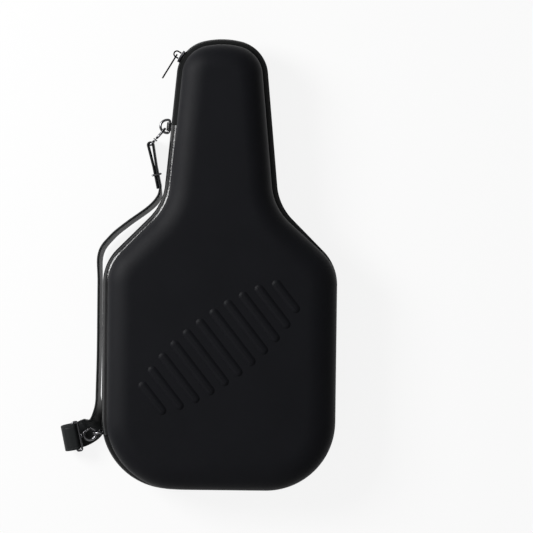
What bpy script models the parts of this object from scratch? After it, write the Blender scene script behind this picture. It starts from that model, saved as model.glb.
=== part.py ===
"""Moulded clamshell case for a paddle: two shells joined by a zip and a leather spine, with a clip-on strap.

The case lies on its back. +X is to its right, +Y runs toward the neck and +Z rises from the back face to
the front. The origin is at the middle of the length, on the back face. Lengths are in metres.
"""

import math

import bmesh
import bpy
from mathutils import Vector

# Outline of the closed case, at its outermost edge
LENGTH = 0.446
BODY_WIDTH = 0.232
BOTTOM_RADIUS = 0.069
SIDE_LENGTH = 0.135
SHOULDER_RADIUS = 0.048
SHOULDER_SLOPE = math.radians(45)
FLARE_RADIUS = 0.054
NECK_WIDTH = 0.111
NECK_TAPER = math.radians(5.4)
CAP_CORNER_RADIUS = 0.035
CAP_RADIUS = 0.080

# Shells, as insets from the outline and rises from the parting plane
DEPTH = 0.060
WALL = 0.004
LINING = 0.0008
RIM_INSET = 0.007
RIM_RISE = 0.006
GROOVE_RISE = 0.009
BULGE_INSET = 0.0055
BULGE_RISE = 0.014
BODY_SWELL = 0.005
SWELL_RAMP = 0.086
CROWN_INSET = 0.029
FIT = 0.0003

# Zip, spine and the binding sewn under each rim
COIL_WIDTH = 0.0022
COIL_HEIGHT = 0.0021
PARTING_GAP = 0.0005
TAPE = 0.0008
BINDING_WIDTH = 0.0042
BINDING = 0.0008
SPINE = 0.0012
END_GAP = 0.0006

# Places along the edge
UPPER_TAB_RISE = 0.0571
LOWER_TAB_ANGLE = math.radians(11.5)

# Slider and pull
SLIDER_ANGLE = math.radians(31)
SLIDER_LENGTH = 0.012
SLIDER_THICKNESS = 0.0021
SLIDER_HEIGHT = 0.0086
SLIDER_WEB = 0.0005
SLIDER_WEB_DEPTH = 0.0016
BAIL_WIRE = 0.0014
BAIL_SPAN = 0.006
BAIL_HEIGHT = 0.0062
PULL_LENGTH = 0.028
PULL_WIDTH = 0.009
PULL_THICKNESS = 0.0013
PULL_HOLE_LENGTH = 0.0040
PULL_HOLE_WIDTH = 0.0044
PULL_END = 0.0015
PULL_RISE = 0.0032
PULL_SEAT = 0.0005

# Rings and the tabs that hold them
RING_WIRE = 0.0026
RING_REACH = 0.0090
RING_WIDTH = 0.013
RING_CORNER = 0.002
RING_STANDOFF = 0.002
TAB_WIDTH = 0.0085
TAB_THICKNESS = 0.0012

# Snap hooks
HOOK_RADIUS = 0.006
HOOK_WIRE = 0.0026
HOOK_TIP = math.radians(20)
HOOK_STUB = math.radians(-62)
GRIP_GAP = 0.0005
GATE_WIRE = 0.0018
GATE_GAP = 0.0005
POST_RADIUS = 0.0024
POST_LENGTH = 0.0012
LOOP_WIRE = 0.0022
LOOP_CORNER = 0.0016
UPPER_HOOK_TURN = math.radians(49.5)

# Carry strap and its slide buckle
STRAP_WIDTH = 0.026
STRAP_THICKNESS = 0.0022
STRAP_SIDE_GAP = 0.0008
BUCKLE_WIRE = 0.0020
BUCKLE_DISTANCE = 0.030
BUCKLE_TRAVEL = 0.008
LAYER_GAP = 0.0006
STRAP_LEAN = math.radians(-78)
STRAP_STANDOFF = 0.0062
TURN_REACH = 0.0034
TURN_FLOOR = 0.0028

# Values worked out from the sizes above
MID = DEPTH / 2
HALF_BODY = BODY_WIDTH / 2
BOTTOM_Y = -LENGTH / 2
TOP_Y = LENGTH / 2
HARDWARE_Z = MID - BULGE_RISE
CORNER_Y = BOTTOM_Y + BOTTOM_RADIUS
SIDE_TOP_Y = CORNER_Y + SIDE_LENGTH
LOOP_DEPTH = LOOP_WIRE + STRAP_THICKNESS + 2 * FIT
UP = Vector((0, 0, 1))


def heading(angle):
    """Unit vector in the plan at an angle from +X."""
    return Vector((math.cos(angle), math.sin(angle), 0))


def span(first, last, steps):
    """Evenly spaced values from first to last, both included."""
    return [first + (last - first) * k / steps for k in range(steps + 1)]


def neck_root():
    """Point where the flare runs into the straight neck, on the right side."""
    slope, taper = SHOULDER_SLOPE, NECK_TAPER
    bend_in = SHOULDER_RADIUS * (1 - math.cos(slope)) + FLARE_RADIUS * (math.cos(taper) - math.cos(slope))
    run = (HALF_BODY - NECK_WIDTH / 2 - bend_in) / math.sin(slope)
    start = Vector((HALF_BODY - SHOULDER_RADIUS, SIDE_TOP_Y, 0)) + SHOULDER_RADIUS * heading(slope)
    end = start + run * heading(slope + math.pi / 2)
    return end + FLARE_RADIUS * (heading(slope) - heading(taper)), start, end


def cap_corner_centre():
    """Centre of the neck's right corner arc, which touches the neck side and the shallow end arc."""
    root = neck_root()[0]
    along = heading(NECK_TAPER + math.pi / 2)
    base = root - CAP_CORNER_RADIUS * heading(NECK_TAPER)
    offset = base - Vector((0, TOP_Y - CAP_RADIUS, 0))
    reach = CAP_RADIUS - CAP_CORNER_RADIUS
    half = offset.dot(along)
    return base + along * (-half + math.sqrt(half * half - offset.dot(offset) + reach * reach))


def half_outline():
    """Stations (point, outward normal) up the right side, from the bottom middle to the neck's end."""
    stations = []

    def line(start, end, angle, steps):
        stations.extend((start.lerp(end, t), heading(angle)) for t in span(0, 1, steps)[:-1])

    def arc(centre, radius, angles):
        stations.extend((centre + radius * heading(a), heading(a)) for a in angles[:-1])

    root, shoulder_end, flare_start = neck_root()
    corner = Vector((HALF_BODY - BOTTOM_RADIUS, CORNER_Y, 0))
    cap = cap_corner_centre()
    end_centre = Vector((0, TOP_Y - CAP_RADIUS, 0))
    to_cap = cap - end_centre
    cap_turn = math.atan2(to_cap.y, to_cap.x)
    neck_end = cap + CAP_CORNER_RADIUS * heading(NECK_TAPER)
    tab = root.lerp(neck_end, UPPER_TAB_RISE / (neck_end.y - root.y))
    line(Vector((0, BOTTOM_Y, 0)), Vector((corner.x, BOTTOM_Y, 0)), -math.pi / 2, 1)
    arc(corner, BOTTOM_RADIUS, span(-math.pi / 2, -LOWER_TAB_ANGLE, 6))
    arc(corner, BOTTOM_RADIUS, span(-LOWER_TAB_ANGLE, 0, 1))
    line(Vector((HALF_BODY, CORNER_Y, 0)), Vector((HALF_BODY, SIDE_TOP_Y, 0)), 0, 1)
    arc(Vector((HALF_BODY - SHOULDER_RADIUS, SIDE_TOP_Y, 0)), SHOULDER_RADIUS, span(0, SHOULDER_SLOPE, 4))
    line(shoulder_end, flare_start, SHOULDER_SLOPE, 1)
    flare_centre = flare_start + FLARE_RADIUS * heading(SHOULDER_SLOPE)
    for angle in span(SHOULDER_SLOPE, NECK_TAPER, 4)[:-1]:
        stations.append((flare_centre - FLARE_RADIUS * heading(angle), heading(angle)))
    line(root, tab, NECK_TAPER, 1)
    line(tab, neck_end, NECK_TAPER, 1)
    arc(cap, CAP_CORNER_RADIUS, span(NECK_TAPER, cap_turn, 6))
    arc(end_centre, CAP_RADIUS, span(cap_turn, math.pi / 2, 1))
    stations.append((Vector((0, TOP_Y, 0)), heading(math.pi / 2)))
    return stations


def flipped(station):
    """The same station on the left side of the case."""
    return tuple(Vector((-v.x, v.y, v.z)) for v in station)


def full_outline():
    """Stations all round the case, anticlockwise from the bottom middle."""
    right = half_outline()
    return right + [flipped(s) for s in reversed(right[1:-1])]


def split_outline(stations):
    """The zip's path and the spine's path, which meet at the two ring tabs on the left side."""
    left = [k for k, s in enumerate(stations) if s[0].x < 0]
    high_y = neck_root()[0].y + UPPER_TAB_RISE
    upper = min(left, key=lambda k: abs(stations[k][0].y - high_y))
    low_y = CORNER_Y - BOTTOM_RADIUS * math.sin(LOWER_TAB_ANGLE)
    lower = min(left, key=lambda k: abs(stations[k][0].y - low_y))
    spine = stations[upper:lower + 1]
    zip_path = stations[lower:] + stations[:upper + 1]
    return trimmed(zip_path), trimmed(spine)


def trimmed(path):
    """A path with each end drawn back, so that neighbouring bands don't touch."""
    first, last = path[0], path[-1]
    inward = UP.cross(first[1])
    outward = UP.cross(last[1])
    return [(first[0] + END_GAP * inward, first[1])] + path[1:-1] + [(last[0] - END_GAP * outward, last[1])]


def finish(name, colour, roughness, metallic=0.0):
    """A plain Principled material."""
    material = bpy.data.materials.new(name)
    material.use_nodes = True
    shader = material.node_tree.nodes["Principled BSDF"]
    shader.inputs["Base Color"].default_value = (*colour, 1.0)
    shader.inputs["Roughness"].default_value = roughness
    shader.inputs["Metallic"].default_value = metallic
    return material


def place(name, data, material, origin, parent):
    """Adds an object whose data is already drawn about its origin."""
    data.materials.append(material)
    obj = bpy.data.objects.new(name, data)
    bpy.context.scene.collection.objects.link(obj)
    obj.parent = parent
    obj.location = origin - parent.location if parent else origin
    return obj


def axis_empty(name, origin):
    """An empty on a joint's axis, which carries the pieces that move together."""
    empty = bpy.data.objects.new(name, None)
    bpy.context.scene.collection.objects.link(empty)
    empty.location = origin
    return empty


def loft(name, rings, material, closed=False, origin=Vector(), parent=None):
    """A solid skinned over rings of equally many points, capped at both ends unless it closes on itself."""
    bm = bmesh.new()
    loops = [[bm.verts.new(p - origin) for p in ring] for ring in rings]
    pairs = list(zip(loops, loops[1:]))
    if closed:
        pairs.append((loops[-1], loops[0]))
    else:
        bm.faces.new(loops[0])
        bm.faces.new(loops[-1])
    for low, high in pairs:
        for k in range(len(low)):
            j = (k + 1) % len(low)
            bm.faces.new((low[k], low[j], high[j], high[k]))
    bmesh.ops.recalc_face_normals(bm, faces=bm.faces)
    mesh = bpy.data.meshes.new(name)
    bm.to_mesh(mesh)
    bm.free()
    mesh.shade_smooth()
    mesh.set_sharp_from_angle(angle=math.radians(35))
    return place(name, mesh, material, origin, parent)


def wire(name, points, diameter, material, cyclic=False, sides=8, origin=Vector(), parent=None):
    """A round wire along points."""
    curve = bpy.data.curves.new(name, "CURVE")
    curve.dimensions = "3D"
    curve.bevel_depth = diameter / 2
    curve.bevel_resolution = (sides - 4) // 2
    curve.use_fill_caps = not cyclic
    spline = curve.splines.new("POLY")
    spline.points.add(len(points) - 1)
    for point, target in zip(spline.points, points):
        point.co = (*(target - origin), 1.0)
    spline.use_cyclic_u = cyclic
    return place(name, curve, material, origin, parent)


def band(name, path, section, material, closed=False, origin=Vector(), parent=None):
    """A section of (inset, height above the parting plane) swept along stations of the edge."""
    rings = [[p - n * inset + UP * (MID + rise) for inset, rise in section] for p, n in path]
    return loft(name, rings, material, closed, origin, parent)


def ribbon(name, centres, widths, width, thickness, material, origin=Vector(), parent=None):
    """A flat strip along centres, whose width lies along the vectors in widths."""
    rings = []
    for k, centre in enumerate(centres):
        along = (centres[min(k + 1, len(centres) - 1)] - centres[max(k - 1, 0)]).normalized()
        across = (widths[k] - along * widths[k].dot(along)).normalized() * width / 2
        out = along.cross(across).normalized() * thickness / 2
        rings.append([centre + across + out, centre - across + out, centre - across - out, centre + across - out])
    return loft(name, rings, material, origin=origin, parent=parent)


def crown(inset, offset, steps):
    """Profile from a shell's rim height up its rounded side to its flat face, set inside it by an offset."""
    top = MID - offset
    points = []
    for angle in span(0, math.pi / 2, steps):
        points.append((CROWN_INSET - (CROWN_INSET - inset) * math.cos(angle),
                       BULGE_RISE + (top - BULGE_RISE) * math.sin(angle)))
    return points


def eased(share):
    """A share from 0 to 1 that starts and ends gently."""
    share = min(1.0, max(0.0, share))
    return share * share * (3 - 2 * share)


def swell(point):
    """How far the shell's bulge stands out over the zip: round the body's foot and right side, not at the spine."""
    root = neck_root()[0].y
    return BODY_SWELL * eased((root - point.y) / (root - SIDE_TOP_Y)) * eased((point.x + HALF_BODY) / SWELL_RAMP)


def profile_rings(stations, profile, side):
    """Outline rings at each (inset, rise) of a profile, above or below the parting plane."""
    return [[p - n * inset + UP * (MID + side * rise) for p, n in stations] for inset, rise in profile]


def swollen_rings(stations, profile, side):
    """Outline rings of a shell's outer profile, whose bulge swells round the body."""
    rings = []
    for (inset, rise), ring in zip(profile, profile_rings(stations, profile, side)):
        share = (CROWN_INSET - inset) / (CROWN_INSET - BULGE_INSET)
        rings.append([q + n * swell(p) * share for q, (p, n) in zip(ring, stations)])
    return rings


def mirrored(section, side):
    """A band's section on its own side of the parting plane."""
    return [(inset, side * rise) for inset, rise in section]


def build_half(prefix, side, stations, zip_path, spine_path, looks, parent):
    """One half of the case: shell, lining, zip tape, coil, spine leaf and binding."""
    inside = RIM_INSET + WALL
    rim = [(RIM_INSET, GROOVE_RISE), (RIM_INSET, RIM_RISE)]
    outer = crown(BULGE_INSET, 0, 6)[::-1]
    inner = [(inside, RIM_RISE)] + crown(inside, WALL, 4)
    rings = swollen_rings(stations, outer, side) + profile_rings(stations, rim + inner, side)
    loft(prefix + "_shell", rings, looks["shell"], parent=parent, origin=parent.location if parent else Vector())
    skin = WALL + FIT
    skin_out = [(RIM_INSET + skin, RIM_RISE)] + crown(RIM_INSET + skin, skin, 3)
    core = skin + LINING
    skin_in = [(RIM_INSET + core, RIM_RISE)] + crown(RIM_INSET + core, core, 3)
    loft(prefix + "_lining", profile_rings(stations, skin_out[::-1] + skin_in, side), looks["lining"],
         parent=parent, origin=parent.location if parent else Vector())
    coil_top = PARTING_GAP + COIL_HEIGHT
    chamfer = COIL_HEIGHT / 4
    coil = [(chamfer, PARTING_GAP), (COIL_WIDTH, PARTING_GAP), (COIL_WIDTH, coil_top - chamfer),
            (COIL_WIDTH - chamfer, coil_top), (chamfer, coil_top), (0, coil_top - chamfer),
            (0, PARTING_GAP + chamfer)]
    seat = coil_top + FIT
    groove = RIM_INSET - FIT
    tape = [(COIL_WIDTH / 2, seat), (groove, GROOVE_RISE - TAPE), (groove - TAPE, GROOVE_RISE),
            (COIL_WIDTH / 2 - TAPE, seat + TAPE / 2)]
    spine = [(0, PARTING_GAP), (SPINE, PARTING_GAP), (SPINE * 1.2, RIM_RISE * 0.6),
             (RIM_INSET * 0.45 + SPINE / 2, RIM_RISE * 1.15), (groove, GROOVE_RISE - SPINE / 2),
             (groove - SPINE / 2, GROOVE_RISE + SPINE / 3), (RIM_INSET * 0.3, RIM_RISE * 1.3),
             (SPINE * 0.15, RIM_RISE * 0.65)]
    binding_top = RIM_RISE - FIT
    binding = [(RIM_INSET + FIT, binding_top - BINDING), (RIM_INSET + FIT + BINDING_WIDTH, binding_top - BINDING),
               (RIM_INSET + FIT + BINDING_WIDTH, binding_top), (RIM_INSET + FIT, binding_top)]
    origin = parent.location.copy() if parent else Vector()
    band(prefix + "_zip_coil", zip_path, mirrored(coil, side), looks["coil"], origin=origin, parent=parent)
    band(prefix + "_zip_tape", zip_path, mirrored(tape, side), looks["tape"], origin=origin, parent=parent)
    band(prefix + "_spine", spine_path, mirrored(spine, side), looks["leather"], origin=origin, parent=parent)
    band(prefix + "_binding", stations, mirrored(binding, side), looks["tape"], True, origin, parent)


def build_slider(looks):
    """Zip slider, its bail and its pull, on the neck's upper left corner."""
    right_centre = cap_corner_centre()
    centre = Vector((-right_centre.x, right_centre.y, MID))
    half_turn = SLIDER_LENGTH / 2 / CAP_CORNER_RADIUS
    turns = span(math.pi - SLIDER_ANGLE - half_turn, math.pi - SLIDER_ANGLE + half_turn, 4)
    flat = Vector((centre.x, centre.y, 0))
    path = [(flat + CAP_CORNER_RADIUS * heading(a), heading(a)) for a in turns]
    half, web = SLIDER_HEIGHT / 2, SLIDER_WEB / 2
    face = -FIT - SLIDER_THICKNESS
    section = [(-FIT, -half), (face, -half * 0.75), (face, half * 0.75), (-FIT, half), (-FIT, web),
               (SLIDER_WEB_DEPTH, web), (SLIDER_WEB_DEPTH, -web), (-FIT, -web)]
    band("slider_body", path, section, looks["metal"], origin=centre)
    out = heading(math.pi - SLIDER_ANGLE)
    along = UP.cross(out)
    seat = centre + out * (CAP_CORNER_RADIUS - face + FIT)
    knee = BAIL_HEIGHT - BAIL_SPAN / 2
    arch = [seat + along * BAIL_SPAN / 2]
    for angle in span(0, math.pi, 6):
        arch.append(seat + along * math.cos(angle) * BAIL_SPAN / 2
                    + out * (knee + math.sin(angle) * BAIL_SPAN / 2))
    arch.append(seat - along * BAIL_SPAN / 2)
    wire("slider_bail", arch, BAIL_WIRE, looks["metal"], origin=centre)
    pivot = seat + along * BAIL_SPAN / 2 + out * (PULL_RISE - FIT)
    top = -PULL_HOLE_LENGTH / 2 - PULL_END
    tip = top + PULL_LENGTH
    half_w, cut = PULL_WIDTH / 2, PULL_WIDTH / 6
    edge = [(top, 0), (top, half_w - cut), (top + cut, half_w), (tip - cut, half_w), (tip, half_w - cut),
            (tip, cut - half_w), (tip - cut, -half_w), (top + cut, -half_w), (top, cut - half_w)]
    hole_l, hole_w = PULL_HOLE_LENGTH / 2, PULL_HOLE_WIDTH / 2
    hole = [(-hole_l, 0), (-hole_l, hole_w), (-hole_l / 3, hole_w), (hole_l / 3, hole_w), (hole_l, hole_w),
            (hole_l, -hole_w), (hole_l / 3, -hole_w), (-hole_l / 3, -hole_w), (-hole_l, -hole_w)]
    lift = out * PULL_THICKNESS / 2

    def ring(points, shift):
        return [pivot + along * (a + PULL_SEAT) + UP * b + shift for a, b in points]

    loft("pull_tab", [ring(edge, -lift), ring(edge, lift), ring(hole, lift), ring(hole, -lift)],
         looks["metal"], closed=True, origin=pivot)


def d_ring(bar, out, along):
    """Points of a D-shaped ring with its straight bar along one direction and its arch outward."""
    half, corner = RING_WIDTH / 2, RING_CORNER
    points = []
    for side in (-1, 1):
        for angle in span(0, math.pi / 2, 3)[::side]:
            points.append(bar + out * corner * (1 - math.cos(angle))
                          + along * side * (half - corner + corner * math.sin(angle)))
    arch = RING_REACH - corner
    for angle in span(math.pi / 2, -math.pi / 2, 12)[1:-1]:
        points.append(bar + out * (corner + arch * math.cos(angle)) + along * half * math.sin(angle))
    return points


def ring_grip(out, along, pull):
    """Where a hook that pulls along a direction in the ring's plane bears on the ring, from its bar."""
    arch, half = RING_REACH - RING_CORNER, RING_WIDTH / 2
    a, b = pull.dot(out), pull.dot(along)
    size = math.sqrt((arch * a) ** 2 + (half * b) ** 2)
    return out * (RING_CORNER + arch * arch * a / size) + along * (half * half * b / size)


def ring_tab(name, root, bar, out, across, along, material):
    """A leather loop sewn to the shell side, folded round a ring's bar."""
    radius = RING_WIRE / 2 + FIT + TAB_THICKNESS / 2
    centres = [root + across * radius, root.lerp(bar, 0.5) + across * radius]
    for angle in span(math.pi / 2, -math.pi / 2, 6):
        centres.append(bar + across * radius * math.sin(angle) + out * radius * math.cos(angle))
    centres += [root.lerp(bar, 0.5) - across * radius, root - across * radius]
    ribbon(name, centres, [along] * len(centres), TAB_WIDTH, TAB_THICKNESS, material)


def grip_depth():
    """Distance from a claw's centre to the ring wire that it holds."""
    return HOOK_RADIUS - HOOK_WIRE / 2 - GRIP_GAP - RING_WIRE / 2


def loop_bar_depth():
    """Distance from a claw's centre back to the bar that the strap goes round."""
    post = HOOK_RADIUS + HOOK_WIRE / 2 + FIT + POST_LENGTH
    return post + FIT + LOOP_WIRE / 2 + LOOP_DEPTH


def build_hook(prefix, claw, u, v, looks):
    """Snap hook with its gate, swivel post and strap loop. u runs from the strap to the ring."""
    w = u.cross(v)
    arc = [claw + HOOK_RADIUS * (v * math.cos(a) + u * math.sin(a))
           for a in span(HOOK_STUB, HOOK_TIP - 2 * math.pi, 22)]
    wire(prefix + "_hook", arc, HOOK_WIRE, looks["metal"], origin=claw)
    low = HOOK_RADIUS * (v * math.cos(HOOK_STUB) + u * math.sin(HOOK_STUB))
    high = HOOK_RADIUS * (v * math.cos(HOOK_TIP) + u * math.sin(HOOK_TIP))
    chord = (high - low).normalized()
    clear = GATE_GAP + HOOK_WIRE / 6
    pivot = claw + low + chord * clear
    gate = [pivot, claw + high - chord * clear]
    wire(prefix + "_gate", gate, GATE_WIRE, looks["metal"], origin=pivot)
    near = HOOK_RADIUS + HOOK_WIRE / 2 + FIT
    post = [claw - u * near, claw - u * (near + POST_LENGTH)]
    wire(prefix + "_swivel_post", post, POST_RADIUS * 2, looks["metal"], sides=12, origin=claw)
    bar = claw - u * loop_bar_depth()
    across = UP if abs(u.cross(UP).dot(w)) > 0.5 else v
    half = STRAP_WIDTH / 2 + STRAP_SIDE_GAP / 2 + LOOP_WIRE / 2
    corners = []
    for a, b, start in ((1, 1, 0), (0, 1, 90), (0, -1, 180), (1, -1, 270)):
        middle = bar + u * (LOOP_DEPTH - LOOP_CORNER if a else LOOP_CORNER) + across * b * (half - LOOP_CORNER)
        for turn in span(start, start + 90, 3):
            angle = math.radians(turn)
            corners.append(middle + LOOP_CORNER * (u * math.cos(angle) + across * math.sin(angle)))
    wire(prefix + "_strap_loop", corners, LOOP_WIRE, looks["metal"], cyclic=True)
    return bar, across


def hook_seats(stations):
    """Bars, directions and claw centres of the upper and lower rings."""
    left = [s for s in stations if s[0].x < 0]
    high_y = neck_root()[0].y + UPPER_TAB_RISE
    upper, n_up = min(left, key=lambda s: abs(s[0].y - high_y))
    low_y = CORNER_Y - BOTTOM_RADIUS * math.sin(LOWER_TAB_ANGLE)
    lower, n_low = min(left, key=lambda s: abs(s[0].y - low_y))
    lift = UP * HARDWARE_Z
    inset = BULGE_INSET - FIT
    low_inset = inset - swell(lower)
    seats = {}
    pull = -heading(UPPER_HOOK_TURN)
    along = UP.cross(n_up)
    bar = upper + n_up * RING_STANDOFF + lift
    claw = bar + ring_grip(n_up, along, pull) + pull * grip_depth()
    seats["upper"] = (upper - n_up * inset + lift, bar, n_up, UP, along, claw, -pull, UP)
    bar = lower + n_low * RING_STANDOFF + lift
    claw = bar + n_low * (RING_REACH + grip_depth())
    side = UP.cross(n_low)
    seats["lower"] = (lower - n_low * low_inset + lift, bar, n_low, side, UP, claw, -n_low, -side)
    return seats


def smooth_route(points, steps):
    """A smooth curve through points, with a few steps between each pair."""
    ends = [2 * points[0] - points[1]] + points + [2 * points[-1] - points[-2]]
    route = []
    for a, b, c, d in zip(ends, ends[1:], ends[2:], ends[3:]):
        for t in span(0, 1, steps)[:-1]:
            route.append(0.5 * (2 * b + (c - a) * t + (2 * a - 5 * b + 4 * c - d) * t * t
                                + (3 * b - a - 3 * c + d) * t ** 3))
    return route + [points[-1]]


def strap_route(seats, upper_bar, lower_bar):
    """Centres and width directions of the strap, from its tail at the buckle to its end at the lower hook."""
    lean = heading(STRAP_LEAN)
    side = UP.cross(lean)
    layer = (STRAP_THICKNESS + LAYER_GAP) / 2
    wrap = (LOOP_WIRE + STRAP_THICKNESS) / 2 + FIT
    reach = BUCKLE_DISTANCE + BUCKLE_TRAVEL
    centres = [upper_bar + lean * d - side * layer for d in (reach + 0.006, reach - 2 * BUCKLE_TRAVEL)]
    for turn in span(-math.pi / 2, -3 * math.pi / 2, 8):
        centres.append(upper_bar + wrap * (side * math.sin(turn) + lean * math.cos(turn)))
    centres += [upper_bar + lean * d + side * layer for d in (reach - 2 * BUCKLE_TRAVEL, reach + 0.004)]
    start = centres[-1]
    rail = -HALF_BODY - STRAP_STANDOFF
    root = neck_root()[0]
    z = UP * HARDWARE_Z
    flare = Vector((-root.x, root.y, 0)) + z
    shoulder = Vector((-HALF_BODY, SIDE_TOP_Y, 0)) + z
    run = [start, flare + Vector((-0.0062, -0.0130, 0)), flare + Vector((-0.0155, -0.0240, 0)),
           flare + Vector((-0.0365, -0.0395, 0)), flare.lerp(shoulder, 0.62) + Vector((-0.0150, 0.0075, 0)),
           shoulder + Vector((-0.0030, 0.0280, 0)), Vector((rail, SIDE_TOP_Y - 0.002, HARDWARE_Z)),
           Vector((rail, (SIDE_TOP_Y + CORNER_Y) / 2, HARDWARE_Z)), Vector((rail + 0.001, CORNER_Y + 0.022,
                                                                           HARDWARE_Z))]
    route = smooth_route(run, 4)
    widths = [UP] * (len(centres) + len(route) - 1)
    centres += route[1:]
    out, claw = seats["lower"][2], seats["lower"][5]
    turn_x = lower_bar + out * TURN_REACH
    floor = Vector((turn_x.x, turn_x.y, TURN_FLOOR))
    last = route[-1]
    bend = [last, last + Vector((0.0003, -0.014, 0)), last + Vector((-0.0006, -0.025, 0)),
            claw + Vector((0.0013, 0.0052, 0)), claw + Vector((-0.0042, 0.0009, 0)), floor - out * 0.008]
    low_route = smooth_route(bend, 4)
    flat = out.cross(UP)
    for k, point in enumerate(low_route[1:], 1):
        share = min(1.0, k / (len(low_route) - 5))
        turn = math.pi / 2 * share * share * (3 - 2 * share)
        rise = TURN_FLOOR + (HARDWARE_Z - TURN_FLOOR) * math.cos(turn)
        way = (low_route[min(k + 1, len(low_route) - 1)] - low_route[k - 1]).normalized()
        centres.append(Vector((point.x, point.y, rise)))
        widths.append(UP * math.cos(turn) + way.cross(UP) * math.sin(turn))
    top = HARDWARE_Z + wrap
    middle = Vector((floor.x, floor.y, (TURN_FLOOR + top) / 2))
    radius = (top - TURN_FLOOR) / 2
    for angle in span(-math.pi / 2, math.pi / 2, 8):
        centres.append(middle + out * radius * math.cos(angle) + UP * radius * math.sin(angle))
    for angle in span(math.pi / 2, -math.pi / 2, 8):
        centres.append(lower_bar - out * wrap * math.cos(angle) + UP * wrap * math.sin(angle))
    centres.append(lower_bar + out * TURN_REACH - UP * wrap)
    widths += [flat] * (len(centres) - len(widths))
    return centres, widths, lean, side


def build_strap(seats, bars, looks):
    """Carry strap and its slide buckle."""
    centres, widths, lean, side = strap_route(seats, *bars)
    ribbon("carry_strap", centres, widths, STRAP_WIDTH, STRAP_THICKNESS, looks["leather"])
    middle = bars[0] + lean * BUCKLE_DISTANCE
    half_t = STRAP_THICKNESS + LAYER_GAP / 2 + FIT + BUCKLE_WIRE / 2
    half_w = STRAP_WIDTH / 2 + STRAP_SIDE_GAP / 2 + BUCKLE_WIRE / 2
    corner = BUCKLE_WIRE / 2
    frame = []
    for a, b, start in ((1, 1, 0), (-1, 1, 90), (-1, -1, 180), (1, -1, 270)):
        centre = middle + side * a * (half_t - corner / 4) + UP * b * (half_w - corner / 4)
        for turn in span(start, start + 90, 2):
            angle = math.radians(turn)
            frame.append(centre + corner / 4 * (side * math.cos(angle) + UP * math.sin(angle)))
    wire("strap_buckle", frame, BUCKLE_WIRE, looks["metal"], cyclic=True, origin=middle)


def main():
    """Builds the case, closed, with its strap clipped on."""
    for obj in list(bpy.data.objects):
        bpy.data.objects.remove(obj)
    looks = {
        "shell": finish("shell_fabric", (0.012, 0.012, 0.013), 0.85),
        "lining": finish("lining_fabric", (0.03, 0.03, 0.032), 0.9),
        "tape": finish("zip_tape", (0.02, 0.02, 0.022), 0.8),
        "coil": finish("zip_coil", (0.03, 0.03, 0.032), 0.45),
        "leather": finish("strap_leather", (0.010, 0.010, 0.011), 0.35),
        "metal": finish("dark_metal", (0.09, 0.09, 0.095), 0.28, 1.0),
    }
    stations = full_outline()
    zip_path, spine_path = split_outline(stations)
    hinge = axis_empty("lid_axis", Vector((-HALF_BODY, 0, MID)))
    build_half("rear", -1, stations, zip_path, spine_path, looks, None)
    build_half("front", 1, stations, zip_path, spine_path, looks, hinge)
    build_slider(looks)
    seats = hook_seats(stations)
    bars = []
    for prefix, (root, bar, out, across, along, claw, u, v) in seats.items():
        ring_tab(prefix + "_ring_tab", root, bar, out, across, along, looks["leather"])
        wire(prefix + "_ring", d_ring(bar, out, along), RING_WIRE, looks["metal"], cyclic=True, origin=bar)
        bars.append(build_hook(prefix, claw, u, v, looks)[0])
    build_strap(seats, bars, looks)


main()
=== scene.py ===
"""Looks of a moulded paddle case: woven shells, edge zip, leather spine and clip-on strap."""

from __future__ import annotations

import logging
import math
from dataclasses import dataclass, field
from enum import Enum
from typing import Any, Sequence

import bmesh
import bpy
from mathutils import Matrix, Vector

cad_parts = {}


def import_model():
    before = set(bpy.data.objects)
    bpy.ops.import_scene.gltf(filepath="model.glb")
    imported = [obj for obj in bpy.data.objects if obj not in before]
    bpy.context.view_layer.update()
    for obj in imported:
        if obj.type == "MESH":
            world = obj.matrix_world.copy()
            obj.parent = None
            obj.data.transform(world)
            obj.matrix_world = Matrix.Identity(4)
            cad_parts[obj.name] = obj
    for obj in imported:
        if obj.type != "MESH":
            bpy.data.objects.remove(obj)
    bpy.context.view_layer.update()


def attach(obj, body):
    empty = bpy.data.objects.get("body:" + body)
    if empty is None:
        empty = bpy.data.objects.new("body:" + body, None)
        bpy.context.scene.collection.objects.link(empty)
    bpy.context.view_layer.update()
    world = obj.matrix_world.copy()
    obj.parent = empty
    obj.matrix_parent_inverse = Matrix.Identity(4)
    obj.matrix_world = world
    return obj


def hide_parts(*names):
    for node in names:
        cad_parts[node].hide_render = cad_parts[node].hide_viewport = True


LOG = logging.getLogger("paddle_case")
UP = Vector((0.0, 0.0, 1.0))
FULL_TURN = 2 * math.pi
HALF_TURN = math.pi
QUARTER_TURN = math.pi / 2
MM_PER_M = 1000

# Numbers of a Mix node's colour sockets, which share their names with its other sockets.
MIX_FIRST, MIX_SECOND, MIX_RESULT = 6, 7, 2

# A strip's rounded edges: radius to thickness, turns in degrees and places across its face.
STRIP_ROUNDING = 0.46
STRIP_TURNS = (0, 30, 60, 90)
STRIP_SHARES = (0.86, 0.7, 0.3, 0.0, -0.3, -0.7, -0.86)

Colour = tuple[float, float, float]
Profile = Sequence[tuple[float, float]]


class Side(Enum):
    """Which half of the case a piece belongs to, as its direction from the parting plane."""

    REAR = -1
    FRONT = 1

    @property
    def prefix(self) -> str:
        """Start of the names of the pieces on this half."""
        return "rear" if self is Side.REAR else "front"

    @property
    def body(self) -> str:
        """Moving body that this half rides on."""
        return "rear" if self is Side.REAR else "lid"


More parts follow.
